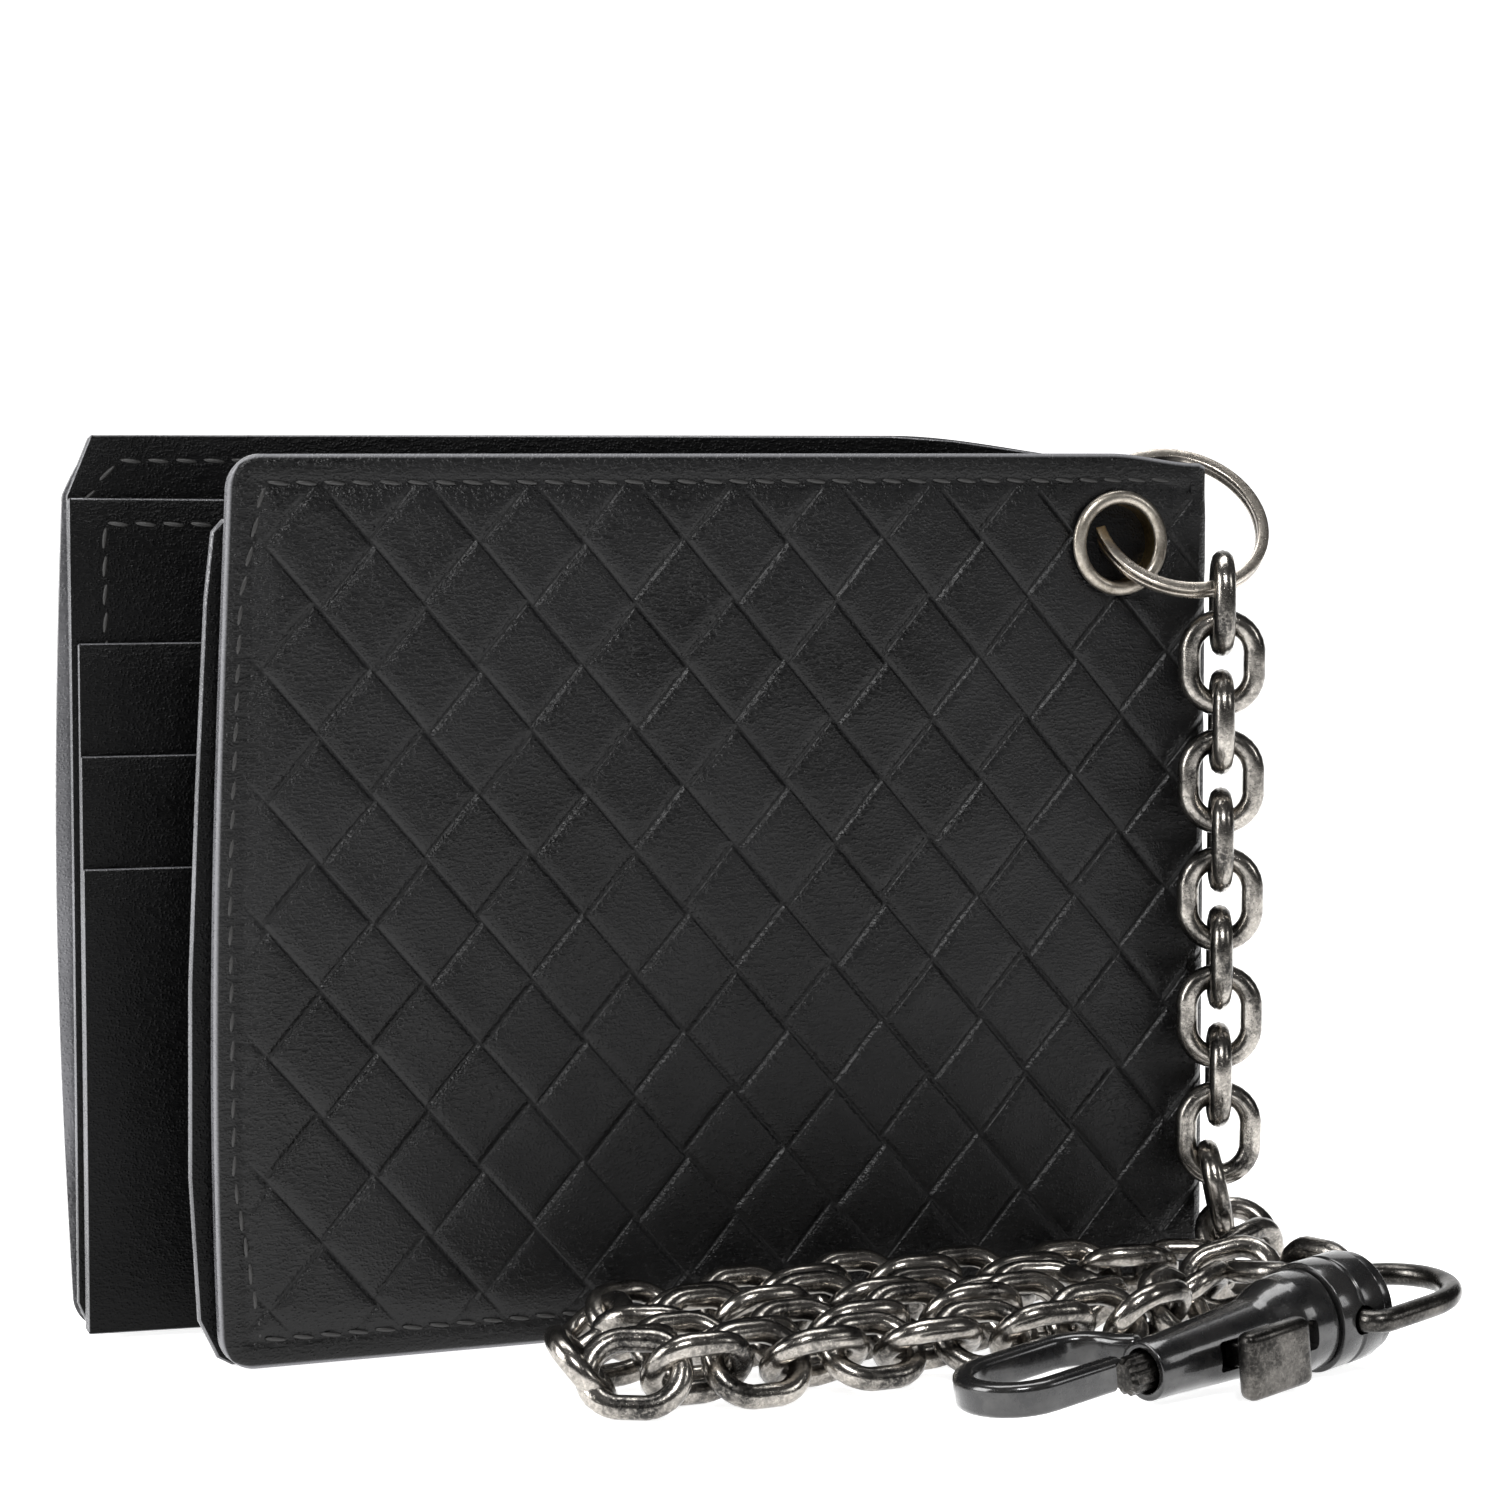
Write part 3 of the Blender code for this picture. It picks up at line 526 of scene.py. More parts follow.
def strip_height(a, b):
    """0 to 1: each strip is domed where it lies over, and dives under at its two ends."""
    b = b + strip_jog * (1 - 2 * np.mod(np.floor(a), 2))
    crossed = np.mod(np.floor(a) + np.floor(b), 2)
    s = np.abs(a - np.floor(a) - 0.5)
    t = np.abs(b - np.floor(b) - 0.5)
    along = np.where(crossed > 0.5, t, s)
    across = np.where(crossed > 0.5, s, t)
    return np.minimum(1 - 0.75 * smooth(along, 0.34, 0.5), 1 - 0.75 * smooth(across, 0.41, 0.5))


def leather_finish(name, colour, roughness, gloss_level, woven=False, crease=0.5):
    """Fine-grained calf with creases and rubbed spots; woven adds the strips' edges, painted shade in
    the grooves between the strips, and a painted highlight along the rim that also stands for edge
    wear.
    """
    material, shader, place = new_finish(name)
    pebble = place.make("TexVoronoi", {"Vector": place, "Scale": 2700.0, "Randomness": 1.0})
    warp = place.make("Mapping", {"Vector": place, "Scale": (0.55, 0.55, 1.7)})
    wrinkle = warp.noise(1500.0, 4.0, 0.62)
    broad = place.noise(75.0, 3.0, 0.5)
    hide = place.noise(14.0, 2.0, 0.5)
    raised = pebble.ramp(0.0, 0.55, 1.0, 0.0) * 0.35 + wrinkle * crease
    mottle_and_groove_shade = (hide * 0.5 + broad * 0.5).ramp(0.35, 0.65)
    gloss = broad * 0.16 + wrinkle.ramp(0.40, 0.62, 0.06, -0.03) + (roughness - 0.08)
    if woven:
        lay = place.make("UVMap", uv_map="weave")
        split = place.make("SeparateXYZ", {"Vector": lay})
        a = split
        b = Channel(split.tree, split.socket.node.outputs[1])
        b = b + (a.math("FLOOR").math("FLOORED_MODULO", 2.0) * (-2 * strip_jog) + strip_jog)
        s = abs(a - a.math("FLOOR") - 0.5)
        t = abs(b - b.math("FLOOR") - 0.5)
        crossed = (a.math("FLOOR") + b.math("FLOOR")).math("FLOORED_MODULO", 2.0)
        along = s * (1.0 - crossed) + t * crossed
        across = t * (1.0 - crossed) + s * crossed
        rim = place.make("Attribute", attribute_name="rim", output=2)
        shown = rim.ramp(2.2, 6.0)
        strip = (1.0 - along.ramp(0.43, 0.5)) * (1.0 - across.ramp(0.470, 0.5, 0.0, 0.45))
        # Painted shade: the grooves where the strips meet are darkened in the base colour, standing in
        # for the shadow each strip casts on the one diving under it. The same mask also makes the
        # grooves rougher.
        groove_shade_mask = s.math("MAXIMUM", t).ramp(0.482, 0.498) * shown
        raised = raised + strip * shown * 1.6
        mottle_and_groove_shade = mottle_and_groove_shade * (1.0 - groove_shade_mask * 0.9)
        gloss = gloss + groove_shade_mask * 0.25
        # Painted highlight, partly edge wear: within half a millimetre of the rim the base colour turns
        # light grey, standing in for the light that the rounded edge catches.
        rim_wear_and_highlight = rim.ramp(0.10, 0.50, 1.0, 0.0)
    bump = place.make("Bump", {"Height": raised, "Strength": 0.85, "Distance": 0.00016})
    deep = tuple(0.35 * c for c in colour)
    tone = mottle_and_groove_shade.blend((*deep, 1.0), (*colour, 1.0))
    if woven:
        # Painted highlight, partly edge wear, blended in along the rim.
        tone = rim_wear_and_highlight.blend(tone, (0.20, 0.20, 0.21, 1.0))
    feed(
        shader,
        {
            "Base Color": tone,
            "Roughness": gloss,
            "Normal": bump,
        },
    )
    shader.inputs["Specular IOR Level"].default_value = gloss_level
    return material


woven_calf = leather_finish(
    "woven_black_calf", (0.0045, 0.0045, 0.0049), 0.30, 0.26, woven=True, crease=0.85
)
# Painted highlight: the inked cut edges are black, but their colour is set light grey to stand in for
# the sheen the edges catch from the lamps.
inked_edge_painted_highlight = leather_finish("inked_cut_edge_painted_highlight", (0.15, 0.15, 0.16), 0.26, 0.6, crease=0.25)

fold_at = Vector((0.8 * mm, 0.0, 0.0))
rear_turn = Matrix.Rotation(math.radians(-6.0), 4, "Z")
rear_pose = Matrix.Translation(fold_at) @ rear_turn @ Matrix.Translation(-fold_at)
half_depth = 7.1 * mm
eyelet_at = Vector((-10.8 * mm, -half_depth, 85.0 * mm))
spine_top = 93.9 * mm
cover_thick = 1.4 * mm
corner_reach = 3.5 * mm
hole_r = 5.0 * mm


def edge_shape(x, z, left, right, top, bow, shoulder=None):
    """Turns a rectangle's points into the panel's outline: bowed side, dipped top, soft corners."""
    height = z / top
    wide = (right - x) / (right - left)
    for corner_z, inward in ((0.0, 1.0), (top, -1.0)):
        reach = corner_reach
        if shoulder and inward < 0:
            p = np.clip((left + shoulder[0] - x) / shoulder[0], 0, 1)
            q = np.clip((z - top + shoulder[1]) / shoulder[1], 0, 1)
            both = np.where(p + q > 0, np.maximum(p, q) / np.maximum(p + q, 1e-9), 1.0)
            inside = (p > 0) & (q > 0)
            x = np.where(inside, left + shoulder[0] - p * both * shoulder[0], x)
            z = np.where(inside, top - shoulder[1] + q * both * shoulder[1], z)
            continue
        p = np.clip((left + reach - x) / reach, 0, 1)
        q = np.clip((corner_z + inward * reach - z) * inward / reach, 0, 1)
        inside = (p > 0) & (q > 0)
        x = np.where(inside, left + reach - p * np.sqrt(1 - q * q / 2) * reach, x)
        z = np.where(inside, corner_z + inward * reach - inward * q * np.sqrt(1 - p * p / 2) * reach, z)
    x = x - bow(height) * wide**3
    dip = top - spine_top
    z = z - dip * smooth(x, right - 10 * dip, right) * smooth(height, 0.8, 1.0)
    return x, z


def woven_panel(left, right, top, face, outward, bow, hole=None, shoulder=None):
    """A woven cover as one closed sheet, its relief pressed into a fine grid."""
    cell = 0.42 * mm
    across = int(round((right - left) / cell))
    tall = int(round(top / cell))
    bm = bmesh.new()
    bmesh.ops.create_grid(bm, x_segments=across, y_segments=tall, size=0.5)
    place = np.array([v.co[:] for v in bm.verts])
    x = left + (place[:, 0] + 0.5) * (right - left)
    z = (place[:, 1] + 0.5) * top
    rim = np.minimum(np.minimum(x - left, z), top - z) / mm
    if shoulder:
        rim = np.minimum(rim, ((x - left) / shoulder[0] + (top - z) / shoulder[1]) * 2.5)
    ripple_x, ripple_z = x.copy(), z.copy()
    x, z = edge_shape(x, z, left, right, top, bow, shoulder)
    a, b = weave_places(x, z)
    shown = smooth(rim, 2.4, 6.5)
    proud = 0.30 * shown * strip_height(a, b)
    proud -= 0.42 * (1 - smooth(rim, 0.0, 0.9)) ** 2
    proud -= 0.22 * np.exp(-(((rim - 3.0) / 0.55) ** 2))
    along_edge = np.where(ripple_x - left < 4 * mm, ripple_z, ripple_x) / mm
    wander = np.array([noise.noise(Vector((p, q, 0.0)) * 120.0) for p, q in zip(x, z)])
    near_seam = np.exp(-(((rim - 3.2) / 1.8) ** 2))
    pucker = np.sin(along_edge * math.tau / 1.9 + 5.0 * wander) * near_seam
    proud += 0.03 * pucker + 0.30 * wander * smooth(rim, 1.0, 12.0)
    if hole is not None:
        away = np.hypot(x - hole.x, z - hole.z) / mm
        proud *= smooth(away, 5.0, 9.0)
        proud -= 0.12 * (1 - smooth(away, 6.0, 7.5))
    y = face + outward * proud * mm
    for vert, p, q, r in zip(bm.verts, x, y, z):
        vert.co = (p, q, r)
    rims = bm.verts.layers.float.new("rim")
    for vert, value in zip(bm.verts, rim):
        vert[rims] = value
    lay = bm.loops.layers.uv.new("weave")
    for bm_face in bm.faces:
        for loop in bm_face.loops:
            loop[lay].uv = (a[loop.vert.index], b[loop.vert.index])
    if hole is not None:
        gone = []
        for panel_face in bm.faces:
            middle = panel_face.calc_center_median()
            if math.hypot(middle.x - hole.x, middle.z - hole.z) < hole_r:
                gone.append(panel_face)
        bmesh.ops.delete(bm, geom=gone, context="FACES")
        for vert in bm.verts:
            spoke = Vector((vert.co.x - hole.x, 0.0, vert.co.z - hole.z))
            if vert.is_boundary and spoke.length < 1.2 * hole_r:
                spoke.normalize()
                vert.co.x = hole.x + spoke.x * hole_r
                vert.co.z = hole.z + spoke.z * hole_r
    open_edges = [e for e in bm.edges if e.is_boundary]
    wall = bmesh.ops.extrude_edge_only(bm, edges=open_edges)["geom"]
    back = face - outward * cover_thick
    for item in wall:
        if isinstance(item, bmesh.types.BMVert):
            item.co.y = back
        if isinstance(item, bmesh.types.BMFace):
            item.material_index = 1
    ends = [e for e in wall if isinstance(e, bmesh.types.BMEdge) and e.is_boundary]
    closing = bmesh.ops.triangle_fill(bm, edges=ends, use_beauty=False)
    for item in closing["geom"]:
        if isinstance(item, bmesh.types.BMFace):
            item.material_index = 1
    return bm


def front_bow(height):
    """How far the free edge swells out at this share of the height."""
    belly = 1.2 * mm * np.sin(np.pi * np.clip(height, 0, 1) ** 0.8)
    return belly + 1.6 * mm * (1 - height) - 0.8 * mm


front_left = -114.0 * mm
front_top = 95.0 * mm
front_cover = woven_panel(
    front_left, -0.7 * mm, front_top, -half_depth, -1.0, front_bow, eyelet_at
)
to_object(
    "woven_front_cover",
    front_cover,
    [woven_calf, inked_edge_painted_highlight],
    "front_half",
    ["front_cover"],
)

# ---- Rear cover: the same woven calf, with a slanted corner at the top of its free edge.
# It is cut, woven and stitched as the front is, and stands opened by a few degrees at the fold.


def rear_bow(height):
    """The rear half's free edge swells evenly."""
    return 1.4 * mm * np.sin(np.pi * np.clip(height, 0, 1))


rear_left = -125.44 * mm
rear_right = -1.44 * mm
rear_top = 97.0 * mm
slanted_corner = (2.7 * mm, 6.5 * mm)
rear_cover = woven_panel(
    rear_left, rear_right, rear_top, half_depth, 1.0, rear_bow, None, slanted_corner
)
to_object(
    "woven_rear_cover",
    rear_cover,
    [woven_calf, inked_edge_painted_highlight],
    "rear_half",
    ["rear_cover"],
    rear_pose,
)

# ---- Spine: the covers' woven leather carried round the fold, over a thin stiffener.
# Its edges curve back into the two halves, and its top dips between them.

spine_deep = 14.35 * mm
spine_thick = 1.0 * mm
spine = bmesh.new()
bmesh.ops.create_grid(spine, x_segments=44, y_segments=226, size=0.5)
spine_weave = spine.loops.layers.uv.new("weave")
spine_rim = spine.verts.layers.float.new("rim")
spine_lay = {}
for vert in spine.verts:
    share = vert.co.x + 0.5
    rise = vert.co.y + 0.5
    y = -half_depth + spine_deep * share
    turn = abs(share - 0.5) * 2
    x = (0.82 - 1.5 * max(0.0, (turn - 0.78) / 0.22) ** 2.4) * mm
    top = spine_top - 1.5 * mm * math.sin(math.pi * share) ** 0.7
    z = top * rise
    a, b = weave_places(np.float64(share * 15.5 * mm - 0.7 * mm), np.float64(z))
    rim = min(z, top - z) / mm
    relief = float(0.30 * smooth(np.float64(rim), 2.4, 6.0) * strip_height(a, b)) * mm
    vert.co = (x + relief * 0.6 * (1 - turn**6), y, z)
    vert[spine_rim] = rim
    spine_lay[vert] = (float(a), float(b))
for spine_face in spine.faces:
    for loop in spine_face.loops:
        loop[spine_weave].uv = spine_lay[loop.vert]
grown = bmesh.ops.extrude_face_region(spine, geom=spine.faces[:])
inner_skin = [item for item in grown["geom"] if isinstance(item, bmesh.types.BMVert)]
bmesh.ops.translate(spine, verts=inner_skin, vec=(-spine_thick, 0.0, 0.0))
spine_piece = to_object("woven_spine", spine, [woven_calf], None, ["spine"])
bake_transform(spine_piece)

# ---- Lining and pockets: smooth calf, skived thin, with folded top edges and a stitched hem.
# The card pockets are stepped 12 mm apart on a backing panel and caught in the edge stitching.

# Black calf, and painted shade as well: the lining and pockets are coloured darker than the woven calf
# to stand in for the shade inside the wallet.
smooth_calf_painted_shade = leather_finish("smooth_black_calf_painted_shade", (0.0024, 0.0024, 0.0027), 0.34, 0.10, crease=0.85)


def soft_panel(name, outline, y_from, thick, body, node, pose=None, wave=0.0):
    """A thin panel cut to its outline, gridded so that it waves a little, with rounded edges."""
    cell = 4.8 * mm
    bm = bmesh.new()
    bm.faces.new([bm.verts.new((x * mm, 0.0, z * mm)) for x, z in outline])
    low = [min(p[k] for p in outline) * mm for k in (0, 1)]
    high = [max(p[k] for p in outline) * mm for k in (0, 1)]
    for axis, first, end in (((1, 0, 0), low[0], high[0]), ((0, 0, 1), low[1], high[1])):
        count = int((end - first) / cell)
        for k in range(1, count):
            at = Vector(axis) * (first + (end - first) * k / count)
            bmesh.ops.bisect_plane(
                bm, geom=bm.verts[:] + bm.edges[:] + bm.faces[:], dist=1e-7, plane_co=at, plane_no=axis
            )
    grown = bmesh.ops.extrude_face_region(bm, geom=bm.faces[:])
    raised = [item for item in grown["geom"] if isinstance(item, bmesh.types.BMVert)]
    bmesh.ops.translate(bm, verts=raised, vec=(0.0, thick, 0.0))
    bmesh.ops.recalc_face_normals(bm, faces=bm.faces)
    for side_face in bm.faces:
        side_face.material_index = int(abs(side_face.normal.y) < 0.5)
    rim_edges = [e for e in bm.edges if len(e.link_faces) == 2 and e.calc_face_angle(0.0) > 1.0]
    bmesh.ops.bevel(
        bm, geom=rim_edges, offset=thick * 0.4, affect="EDGES", segments=3, profile=0.5, material=-1
    )
    for vert in bm.verts:
        sway = noise.noise(Vector((vert.co.x * 45.0, 3.0, vert.co.z * 45.0)))
        vert.co.y += y_from + wave * sway
    return to_object(name, bm, [smooth_calf_painted_shade, inked_edge_painted_highlight], body, [node], pose, sharp=50.0)


soft_panel(
    "front_lining_skin",
    [
        (-112.8, 2.2),
        (-111.4, 0.6),
        (-0.7, 0.6),
        (-0.7, 93.5),
        (-5.0, 93.9),
        (-11.0, 94.8),
        (-109.6, 94.8),
        (-111.4, 92.4),
    ],
    -5.4 * mm,
    0.7 * mm,
    "front_half",
    "front_lining",
)
soft_panel(
    "front_pocket_skin",
    [
        (-114.6, 0.9),
        (-113.0, 0.0),
        (-22.0, 0.0),
        (-22.0, 88.3),
        (-113.2, 88.3),
        (-114.4, 87.0),
        (-115.2, 80.0),
        (-116.3, 60.0),
        (-117.2, 40.0),
        (-117.4, 20.0),
        (-116.6, 5.0),
    ],
    -4.4 * mm,
    1.2 * mm,
    "front_half",
    "front_pocket",
)
soft_panel(
    "front_slip_skin",
    [(-112.0, 0.6), (-25.0, 0.6), (-25.0, 72.8), (-112.0, 72.8)],
    -2.9 * mm,
    0.7 * mm,
    "front_half",
    "front_slip_pocket",
)
soft_panel(
    "rear_lining_skin",
    [
        (-124.9, 2.0),
        (-123.4, 0.6),
        (-1.44, 0.6),
        (-1.44, 93.6),
        (-9.0, 94.2),
        (-17.0, 95.3),
        (-25.0, 96.4),
        (-32.4, 96.9),
        (-122.74, 97.0),
        (-125.44, 90.5),
    ],
    4.7 * mm,
    0.7 * mm,
    "rear_half",
    "rear_lining",
    rear_pose,
)
soft_panel(
    "card_backing_skin",
    [
        (-125.44, 3.5),
        (-124.4, 1.0),
        (-121.9, 0.0),
        (-1.44, 0.0),
        (-1.44, 88.9),
        (-125.44, 90.3),
    ],
    3.2 * mm,
    0.9 * mm,
    "rear_half",
    "card_pocket_back",
    rear_pose,
    0.1 * mm,
)
for index, top in enumerate((74.8, 62.8, 50.8)):
    soft_panel(
        f"card_slot_skin_{index + 1}",
        [(-124.7, 0.6), (-16.44, 0.6), (-16.44, top), (-124.7, top)],
        (2.2 - index) * mm,
        0.7 * mm,
        "rear_half",
        f"card_slot_{index + 1}",
        rear_pose,
        0.06 * mm,
    )

# ---- Stitching: waxed black thread, 3 mm to the stitch, 3 mm inside the edges.
# Each stitch sinks into the leather at both of its ends.

thread, thread_shader, thread_place = new_finish("waxed_black_thread")
twist = thread_place.noise(6000.0, 2.0, 0.5)
feed(
    thread_shader,
    {
        "Base Color": twist.blend((0.004, 0.004, 0.004, 1.0), (0.028, 0.027, 0.026, 1.0)),
        "Roughness": twist * 0.2 + 0.38,
        "Normal": thread_place.make("Bump", {"Height": twist, "Strength": 0.5, "Distance": 0.00005}),
    },
)

stitch_long = 3.0 * mm
stitch_lean = math.radians(7)


def stitch_rows(name, rows, y_at, body, pose=None):
    """A row of stitches along each line of (x, z) points, in mm, on the plane y_at."""
    bm = bmesh.new()
    for row in rows:
        line = [Vector((x, 0.0, z)) * mm for x, z in row]
        for start, end in zip(line, line[1:]):
            count = max(1, round((end - start).length / stitch_long))
            lean = math.atan2((end - start).x, (end - start).z)
            for k in range(count):
                place = start.lerp(end, (k + 0.5) / count) + Vector((0.0, y_at, 0.0))
                matrix = (
                    Matrix.Translation(place)
                    @ Matrix.Rotation(lean + stitch_lean, 4, "Y")
                    @ Matrix.Diagonal((0.27 * mm, 0.2 * mm, 1.2 * mm, 1.0))
                )
                bmesh.ops.create_uvsphere(bm, u_segments=8, v_segments=5, radius=1.0, matrix=matrix)
    return to_object(name, bm, [thread], body, (), pose, sharp=80.0)


stitch_rows(
    "front_edge_stitching",
    [
        [
            (-4.0, 92.0),
            (-109.6, 92.0),
            (-112.2, 80.0),
            (-113.6, 50.0),
            (-113.4, 20.0),
            (-110.6, 3.0),
            (-3.0, 3.0),
        ]
    ],
    -7.0 * mm,
    "front_half",
)
stitch_rows(
    "rear_edge_stitching",
    [
        [
            (-5.0, 91.0),
            (-36.0, 94.0),
            (-121.0, 94.0),
            (-122.6, 89.5),
            (-123.6, 70.0),
            (-123.8, 40.0),
            (-122.0, 3.0),
            (-4.0, 3.0),
        ]
    ],
    7.0 * mm,
    "rear_half",
    rear_pose,
)
stitch_rows(
    "pocket_stitching",
    [[(-6.0, 86.3), (-121.6, 87.5), (-121.6, 3.2)]],
    3.2 * mm,
    "rear_half",
    rear_pose,
)
stitch_rows(
    "lining_stitching",
    [[(-124.2, 89.0), (-120.0, 94.2), (-36.0, 94.2), (-8.0, 91.4)]],
    4.7 * mm,
    "rear_half",
    rear_pose,
)

# ---- Eyelet: a stamped brass barrel with a rolled flange, its plating worn back to the brass.
# It is pushed through the front half's corner and clinched over a brass washer behind the leather.

eyelet_turn = Matrix.Translation(eyelet_at) @ Matrix.Rotation(math.pi / 2, 4, "Z")


def turned(profile, steps=64, closed=True, bevel=0.0):
    """A shape turned about X from (x, radius) points in mm."""
    bm = bmesh.new()
    verts = [bm.verts.new((x * mm, 0.0, r * mm)) for x, r in profile]
    edges = [bm.edges.new(pair) for pair in zip(verts, verts[1:])]
    if closed:
        edges.append(bm.edges.new((verts[-1], verts[0])))
    if bevel:
        bmesh.ops.bevel(
            bm,
            geom=[v for v in verts if v.co.z > 1e-6],
            offset=bevel * mm,
            affect="VERTICES",
            segments=3,
            profile=0.5,
            material=-1,
        )
    bmesh.ops.spin(
        bm,
        geom=bm.verts[:] + bm.edges[:],
        axis=(1, 0, 0),
        cent=(0, 0, 0),
        angle=math.tau,
        steps=steps,
        use_merge=True,
    )
    return bm


eyelet_metal = metal_finish("worn_eyelet_plating", (0.16, 0.14, 0.115), (0.50, 0.46, 0.40), 0.33, 0.45)
brass = metal_finish("eyelet_brass", (0.20, 0.13, 0.05), (0.62, 0.45, 0.20), 0.30, 0.5)
rolled = [
    (-0.3, 5.9),
    (-0.55, 5.88),
    (-0.78, 5.7),
    (-0.95, 5.4),
    (-1.0, 5.05),
    (-0.94, 4.7),
    (-0.76, 4.45),
    (-0.45, 4.32),
    (0.0, 4.3),
    (3.1, 4.3),
    (3.1, 4.7),
    (-0.3, 4.7),
]
eyelet = turned(rolled, 72)
for eyelet_face in eyelet.faces:
    middle = eyelet_face.calc_center_median()
    if middle.x > -0.3 * mm and math.hypot(middle.y, middle.z) < 4.5 * mm:
        eyelet_face.material_index = 1
to_object(
    "rolled_eyelet",
    eyelet,
    [eyelet_metal, brass],
    "front_half",
    ["eyelet"],
    eyelet_turn,
)
washer = turned([(2.7, 5.0), (2.7, 5.9), (3.1, 5.9), (3.1, 5.0)], 72, bevel=0.1)
to_object(
    "clinched_washer",
    washer,
    [brass],
    "front_half",
    ["eyelet_washer"],
    eyelet_turn,
)

# ---- Clasp: a cast snap hook. A sprung bolt closes it, drawn back by a tab through a slot.
# Its body is lacquered black with rubbed edges, and the collar and cap turn behind it.

black_lacquer = metal_finish(
    "black_clasp_lacquer", (0.008, 0.008, 0.009), (0.040, 0.039, 0.038), 0.22, 0.55, 0.2, 0.6, 0.8
)
rubbed_gunmetal = metal_finish(
    "rubbed_gunmetal", (0.020, 0.019, 0.018), (0.14, 0.132, 0.122), 0.24, 0.52
)


def as_object(name, bm):
    """A helper object for a Boolean, removed again once it has been used."""
    bmesh.ops.remove_doubles(bm, verts=bm.verts, dist=1e-6)
    bmesh.ops.recalc_face_normals(bm, faces=bm.faces)
    mesh = bpy.data.meshes.new(name)
    bm.to_mesh(mesh)
    bm.free()
    helper = bpy.data.objects.new(name, mesh)
    bpy.context.scene.collection.objects.link(helper)
    return helper


def carved(name, base, *cuts):
    """The base mesh with each (bmesh, operation) worked into it, as a new bmesh."""
    body = as_object(name, base)
    tools = []
    for index, (shape, operation) in enumerate(cuts):
        tool = as_object(f"{name}_tool_{index}", shape)
        tools.append(tool)
        step = body.modifiers.new(operation, "BOOLEAN")
        step.object = tool
        step.operation = operation
        step.solver = "EXACT"
    graph = bpy.context.evaluated_depsgraph_get()
    result = bmesh.new()
    result.from_mesh(body.evaluated_get(graph).to_mesh())
    for helper in (body, *tools):
        bpy.data.objects.remove(helper, do_unlink=True)
    return result


def slab(low, high, bevel=0.0):
    """A block between two corners in mm, its edges rounded."""
    bm = bmesh.new()
    low, high = Vector(low) * mm, Vector(high) * mm
    place = Matrix.Translation((low + high) / 2) @ Matrix.Diagonal((*(high - low), 1.0))
    bmesh.ops.create_cube(bm, size=1.0, matrix=place)
    if bevel:
        bmesh.ops.bevel(
            bm,
            geom=bm.edges[:],
            offset=bevel * mm,
            affect="EDGES",
            segments=4,
            profile=0.5,
            material=-1,
        )
    return bm


barrel = turned(
    [
        (-1.5, 2.3),
        (-1.5, 3.1),
        (1.5, 3.2),
        (13.0, 3.9),
        (14.2, 4.15),
        (15.6, 4.7),
        (17.0, 5.15),
        (18.2, 5.3),
        (21.2, 5.3),
        (21.2, 2.0),
        (19.6, 2.0),
        (19.6, 2.3),
    ],
    64,
    bevel=0.18,
)
hook_bend = 5.2
hook_long = 13.8
shoulder_bend = 4.94
half_turn = [math.pi * k / 16 for k in range(17)]
quarter_turn = [math.pi / 2 * k / 8 for k in range(9)]
hook_line = [(-4.6, 0.0)]
hook_line += [
    (-hook_long - hook_bend * math.sin(t), hook_bend - hook_bend * math.cos(t)) for t in half_turn
]
hook_line += [
    (
        -shoulder_bend + shoulder_bend * math.sin(t),
        2 * hook_bend - shoulder_bend * (1 - math.cos(t)),
    )
    for t in quarter_turn
]
hook_line.append((1.32, 3.2))
bar_half_thick, bar_foot, bar_wide = 1.1 * mm, -0.95 * mm, 3.4 * mm
hook_bar = bmesh.new()
left_side, right_side = [], []
for index, (x, y) in enumerate(hook_line):
    here = Vector((x, y, 0.0)) * mm
    ahead = Vector((*hook_line[min(index + 1, len(hook_line) - 1)], 0.0))
    back = Vector((*hook_line[max(index - 1, 0)], 0.0))
    side = (ahead - back).cross(up).normalized() * bar_half_thick
    left_side.append(hook_bar.verts.new(here + side + up * bar_foot))
    right_side.append(hook_bar.verts.new(here - side + up * bar_foot))
flat = hook_bar.faces.new(left_side + right_side[::-1])
grown = bmesh.ops.extrude_face_region(hook_bar, geom=[flat])
bmesh.ops.translate(
    hook_bar,
    verts=[v for v in grown["geom"] if isinstance(v, bmesh.types.BMVert)],
    vec=(0, 0, bar_wide),
)
bmesh.ops.recalc_face_normals(hook_bar, faces=hook_bar.faces)
rims = [e for e in hook_bar.edges if e.calc_face_angle(0.0) > 1.0]
bmesh.ops.bevel(
    hook_bar, geom=rims, offset=0.75 * mm, affect="EDGES", segments=4, profile=0.5, material=-1
)
bore_r, bore_end = 2.3, 19.6
bore = turned([(-6.0, 0.0), (-6.0, bore_r), (bore_end, bore_r), (bore_end, 0.0)], 64, closed=False)
hook = carved(
    "snap_hook",
    barrel,
    (hook_bar, "UNION"),
    (bore, "DIFFERENCE"),
    (slab((6.2, -8.0, -1.6), (18.2, 0.0, 1.6), 0.5), "DIFFERENCE"),
)
to_object(
    "snap_hook",
    hook,
    [black_lacquer],
    "clasp_hook",
    ["hook_body"],
    clasp_pose,
    32.0,
)

flutes, flute_deep = 12, 0.07
bolt = turned([(-4.3, 0.0), (-4.3, 1.5), (-3.8, 2.0), (12.0, 2.0), (12.0, 0.0)], 48, closed=False)
for vert in bolt.verts:
    if vert.co.x < -0.5 * mm:
        turn = math.atan2(vert.co.z, vert.co.y)
        vert.co.yz = vert.co.yz * (1 - flute_deep * (1 + math.cos(turn * flutes)))
to_object("fluted_bolt", bolt, [rubbed_gunmetal], "clasp_gate", ["gate_bolt"], clasp_pose)

tab = carved(
    "rounded_tab",
    slab((5.1, -8.8, -3.5), (13.9, -6.4, 3.5), 0.95),
    (slab((7.7, -7.6, -1.2), (11.3, -2.3, 1.2), 0.3), "UNION"),
)
to_object("rounded_tab", tab, [rubbed_gunmetal], "clasp_gate", ["thumb_tab"], clasp_pose)

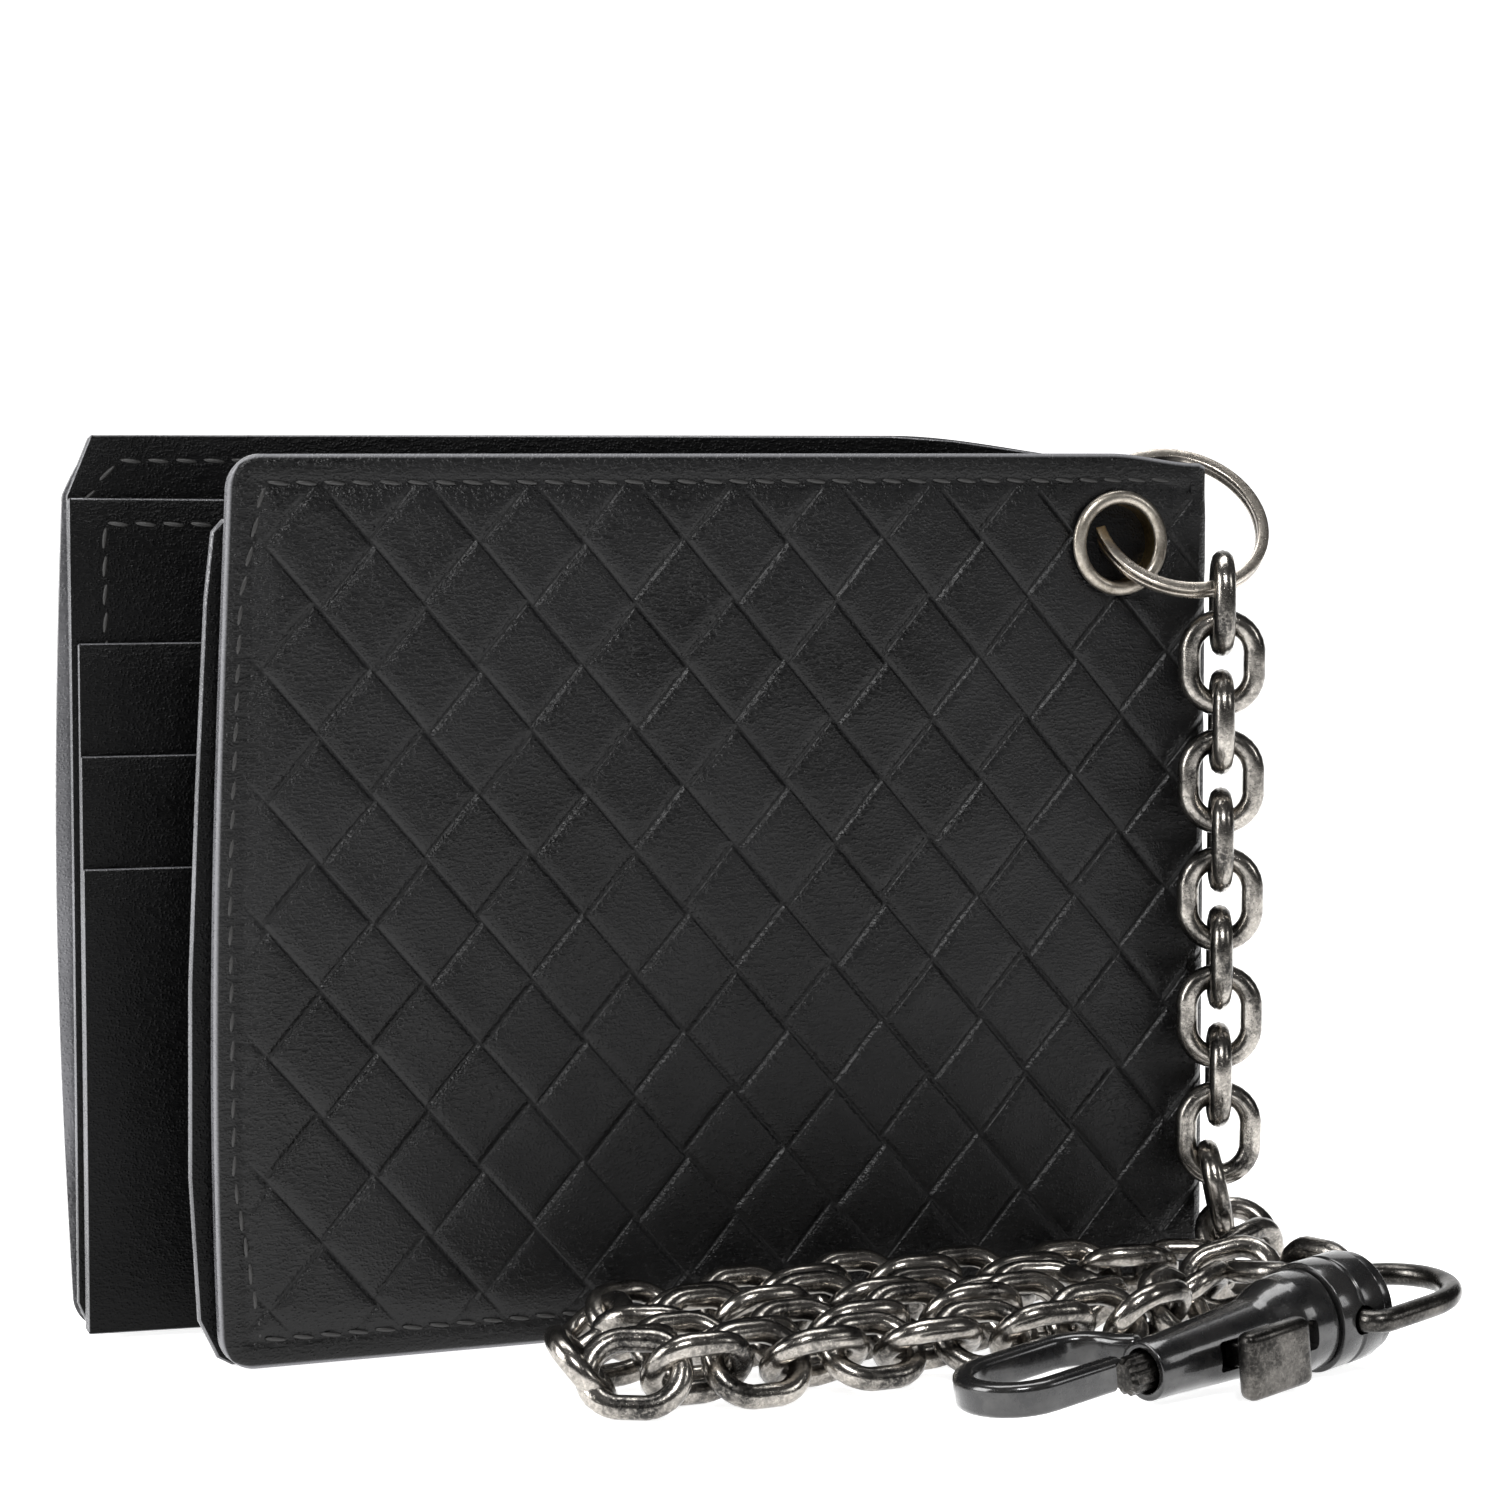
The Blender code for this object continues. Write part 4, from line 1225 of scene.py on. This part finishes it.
spring_turns, spring_long = 6, 6.44
spring = bmesh.new()
bmesh.ops.create_circle(spring, segments=8, radius=0.28 * mm, cap_ends=True)
bmesh.ops.rotate(spring, verts=spring.verts, matrix=Matrix.Rotation(math.pi / 2, 3, "X"))
bmesh.ops.translate(spring, verts=spring.verts, vec=(12.58 * mm, 0.0, 1.72 * mm))
bmesh.ops.spin(
    spring,
    geom=spring.verts[:] + spring.edges[:] + spring.faces[:],
    axis=(1, 0, 0),
    cent=(0, 0, 0),
    dvec=(spring_long / (24 * spring_turns) * mm, 0.0, 0.0),
    angle=spring_turns * math.tau,
    steps=24 * spring_turns,
    use_merge=False,
)
spring_piece = to_object(
    "coil_spring", spring, [ring_steel], "clasp_hook", ["return_spring"], clasp_pose
)
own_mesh(spring_piece)

collar = turned(
    [
        (21.5, 2.0),
        (21.5, 5.8),
        (24.2, 5.8),
        (24.35, 5.6),
        (24.65, 5.6),
        (24.8, 5.8),
        (27.5, 5.8),
        (27.5, 2.0),
    ],
    64,
    bevel=0.12,
)
pin_x = 24.5
drill_near = turned([(0.0, 0.0), (0.0, 1.55), (6.0, 1.55), (6.0, 0.0)], 32, closed=False)
drill_far = drill_near.copy()
for drill, side in ((drill_near, -1), (drill_far, 1)):
    outwards = Matrix.Rotation(side * math.pi / 2, 4, "Z")
    place = Matrix.Translation((pin_x * mm, side * 3.05 * mm, 0.0)) @ outwards
    bmesh.ops.transform(drill, matrix=place, verts=drill.verts)
collar = carved("swivel_collar_ring", collar, (drill_near, "DIFFERENCE"), (drill_far, "DIFFERENCE"))
to_object(
    "swivel_collar_ring",
    collar,
    [black_lacquer],
    "clasp_swivel",
    ["swivel_collar"],
    clasp_pose,
)
cap = turned(
    [(19.9, 0.0), (19.9, 1.7), (27.8, 1.7), (27.8, 5.4), (28.9, 5.4), (29.3, 5.0), (29.3, 0.0)],
    64,
    closed=False,
    bevel=0.1,
)
to_object(
    "swivel_cap",
    cap,
    [black_lacquer],
    "clasp_swivel",
    ["swivel_rivet"],
    clasp_pose,
)

# ---- Bow: a loop of round wire with a blackened finish, bent to shape and sprung into the
# collar's two holes. The chain's last link rides on it, so it stays with the chain.

arm = 7.6
bow_long = 15.5
bow_bend = 1.8
bow_in_hole = 3.4


def bow_corner(turn):
    """How far along and inwards the wire has come, this share of a right angle into its bend."""
    return (
        bow_bend * (1 - math.cos(math.pi / 2 * turn)),
        bow_bend * (1 - math.sin(math.pi / 2 * turn)),
    )


corners_in = [bow_corner(k / 6) for k in range(7)]
bow_line = [(pin_x, -bow_in_hole)]
bow_line += [(pin_x + x, -arm + y) for x, y in corners_in]
bow_line += [
    (pin_x + bow_long - arm + arm * math.cos(t), arm * math.sin(t))
    for t in (-math.pi / 2 + math.pi * k / 24 for k in range(25))
]
bow_line += [(pin_x + x, arm - y) for x, y in corners_in[::-1]]
bow_line.append((pin_x, bow_in_hole))
wire = bpy.data.curves.new("bow_wire", "CURVE")
wire.dimensions = "3D"
wire.bevel_depth = 1.2 * mm
wire.bevel_resolution = 6
wire.use_fill_caps = True
wire_run = wire.splines.new("POLY")
wire_run.points.add(len(bow_line) - 1)
for point, (x, y) in zip(wire_run.points, bow_line):
    point.co = (x * mm, y * mm, 0.0, 1.0)
wire_holder = bpy.data.objects.new("bow_wire", wire)
bpy.context.scene.collection.objects.link(wire_holder)
bow = bmesh.new()
bow.from_mesh(wire_holder.to_mesh())
bpy.data.objects.remove(wire_holder, do_unlink=True)
to_object("wire_bow", bow, [rubbed_gunmetal], "front_half", ["bow"], clasp_pose)
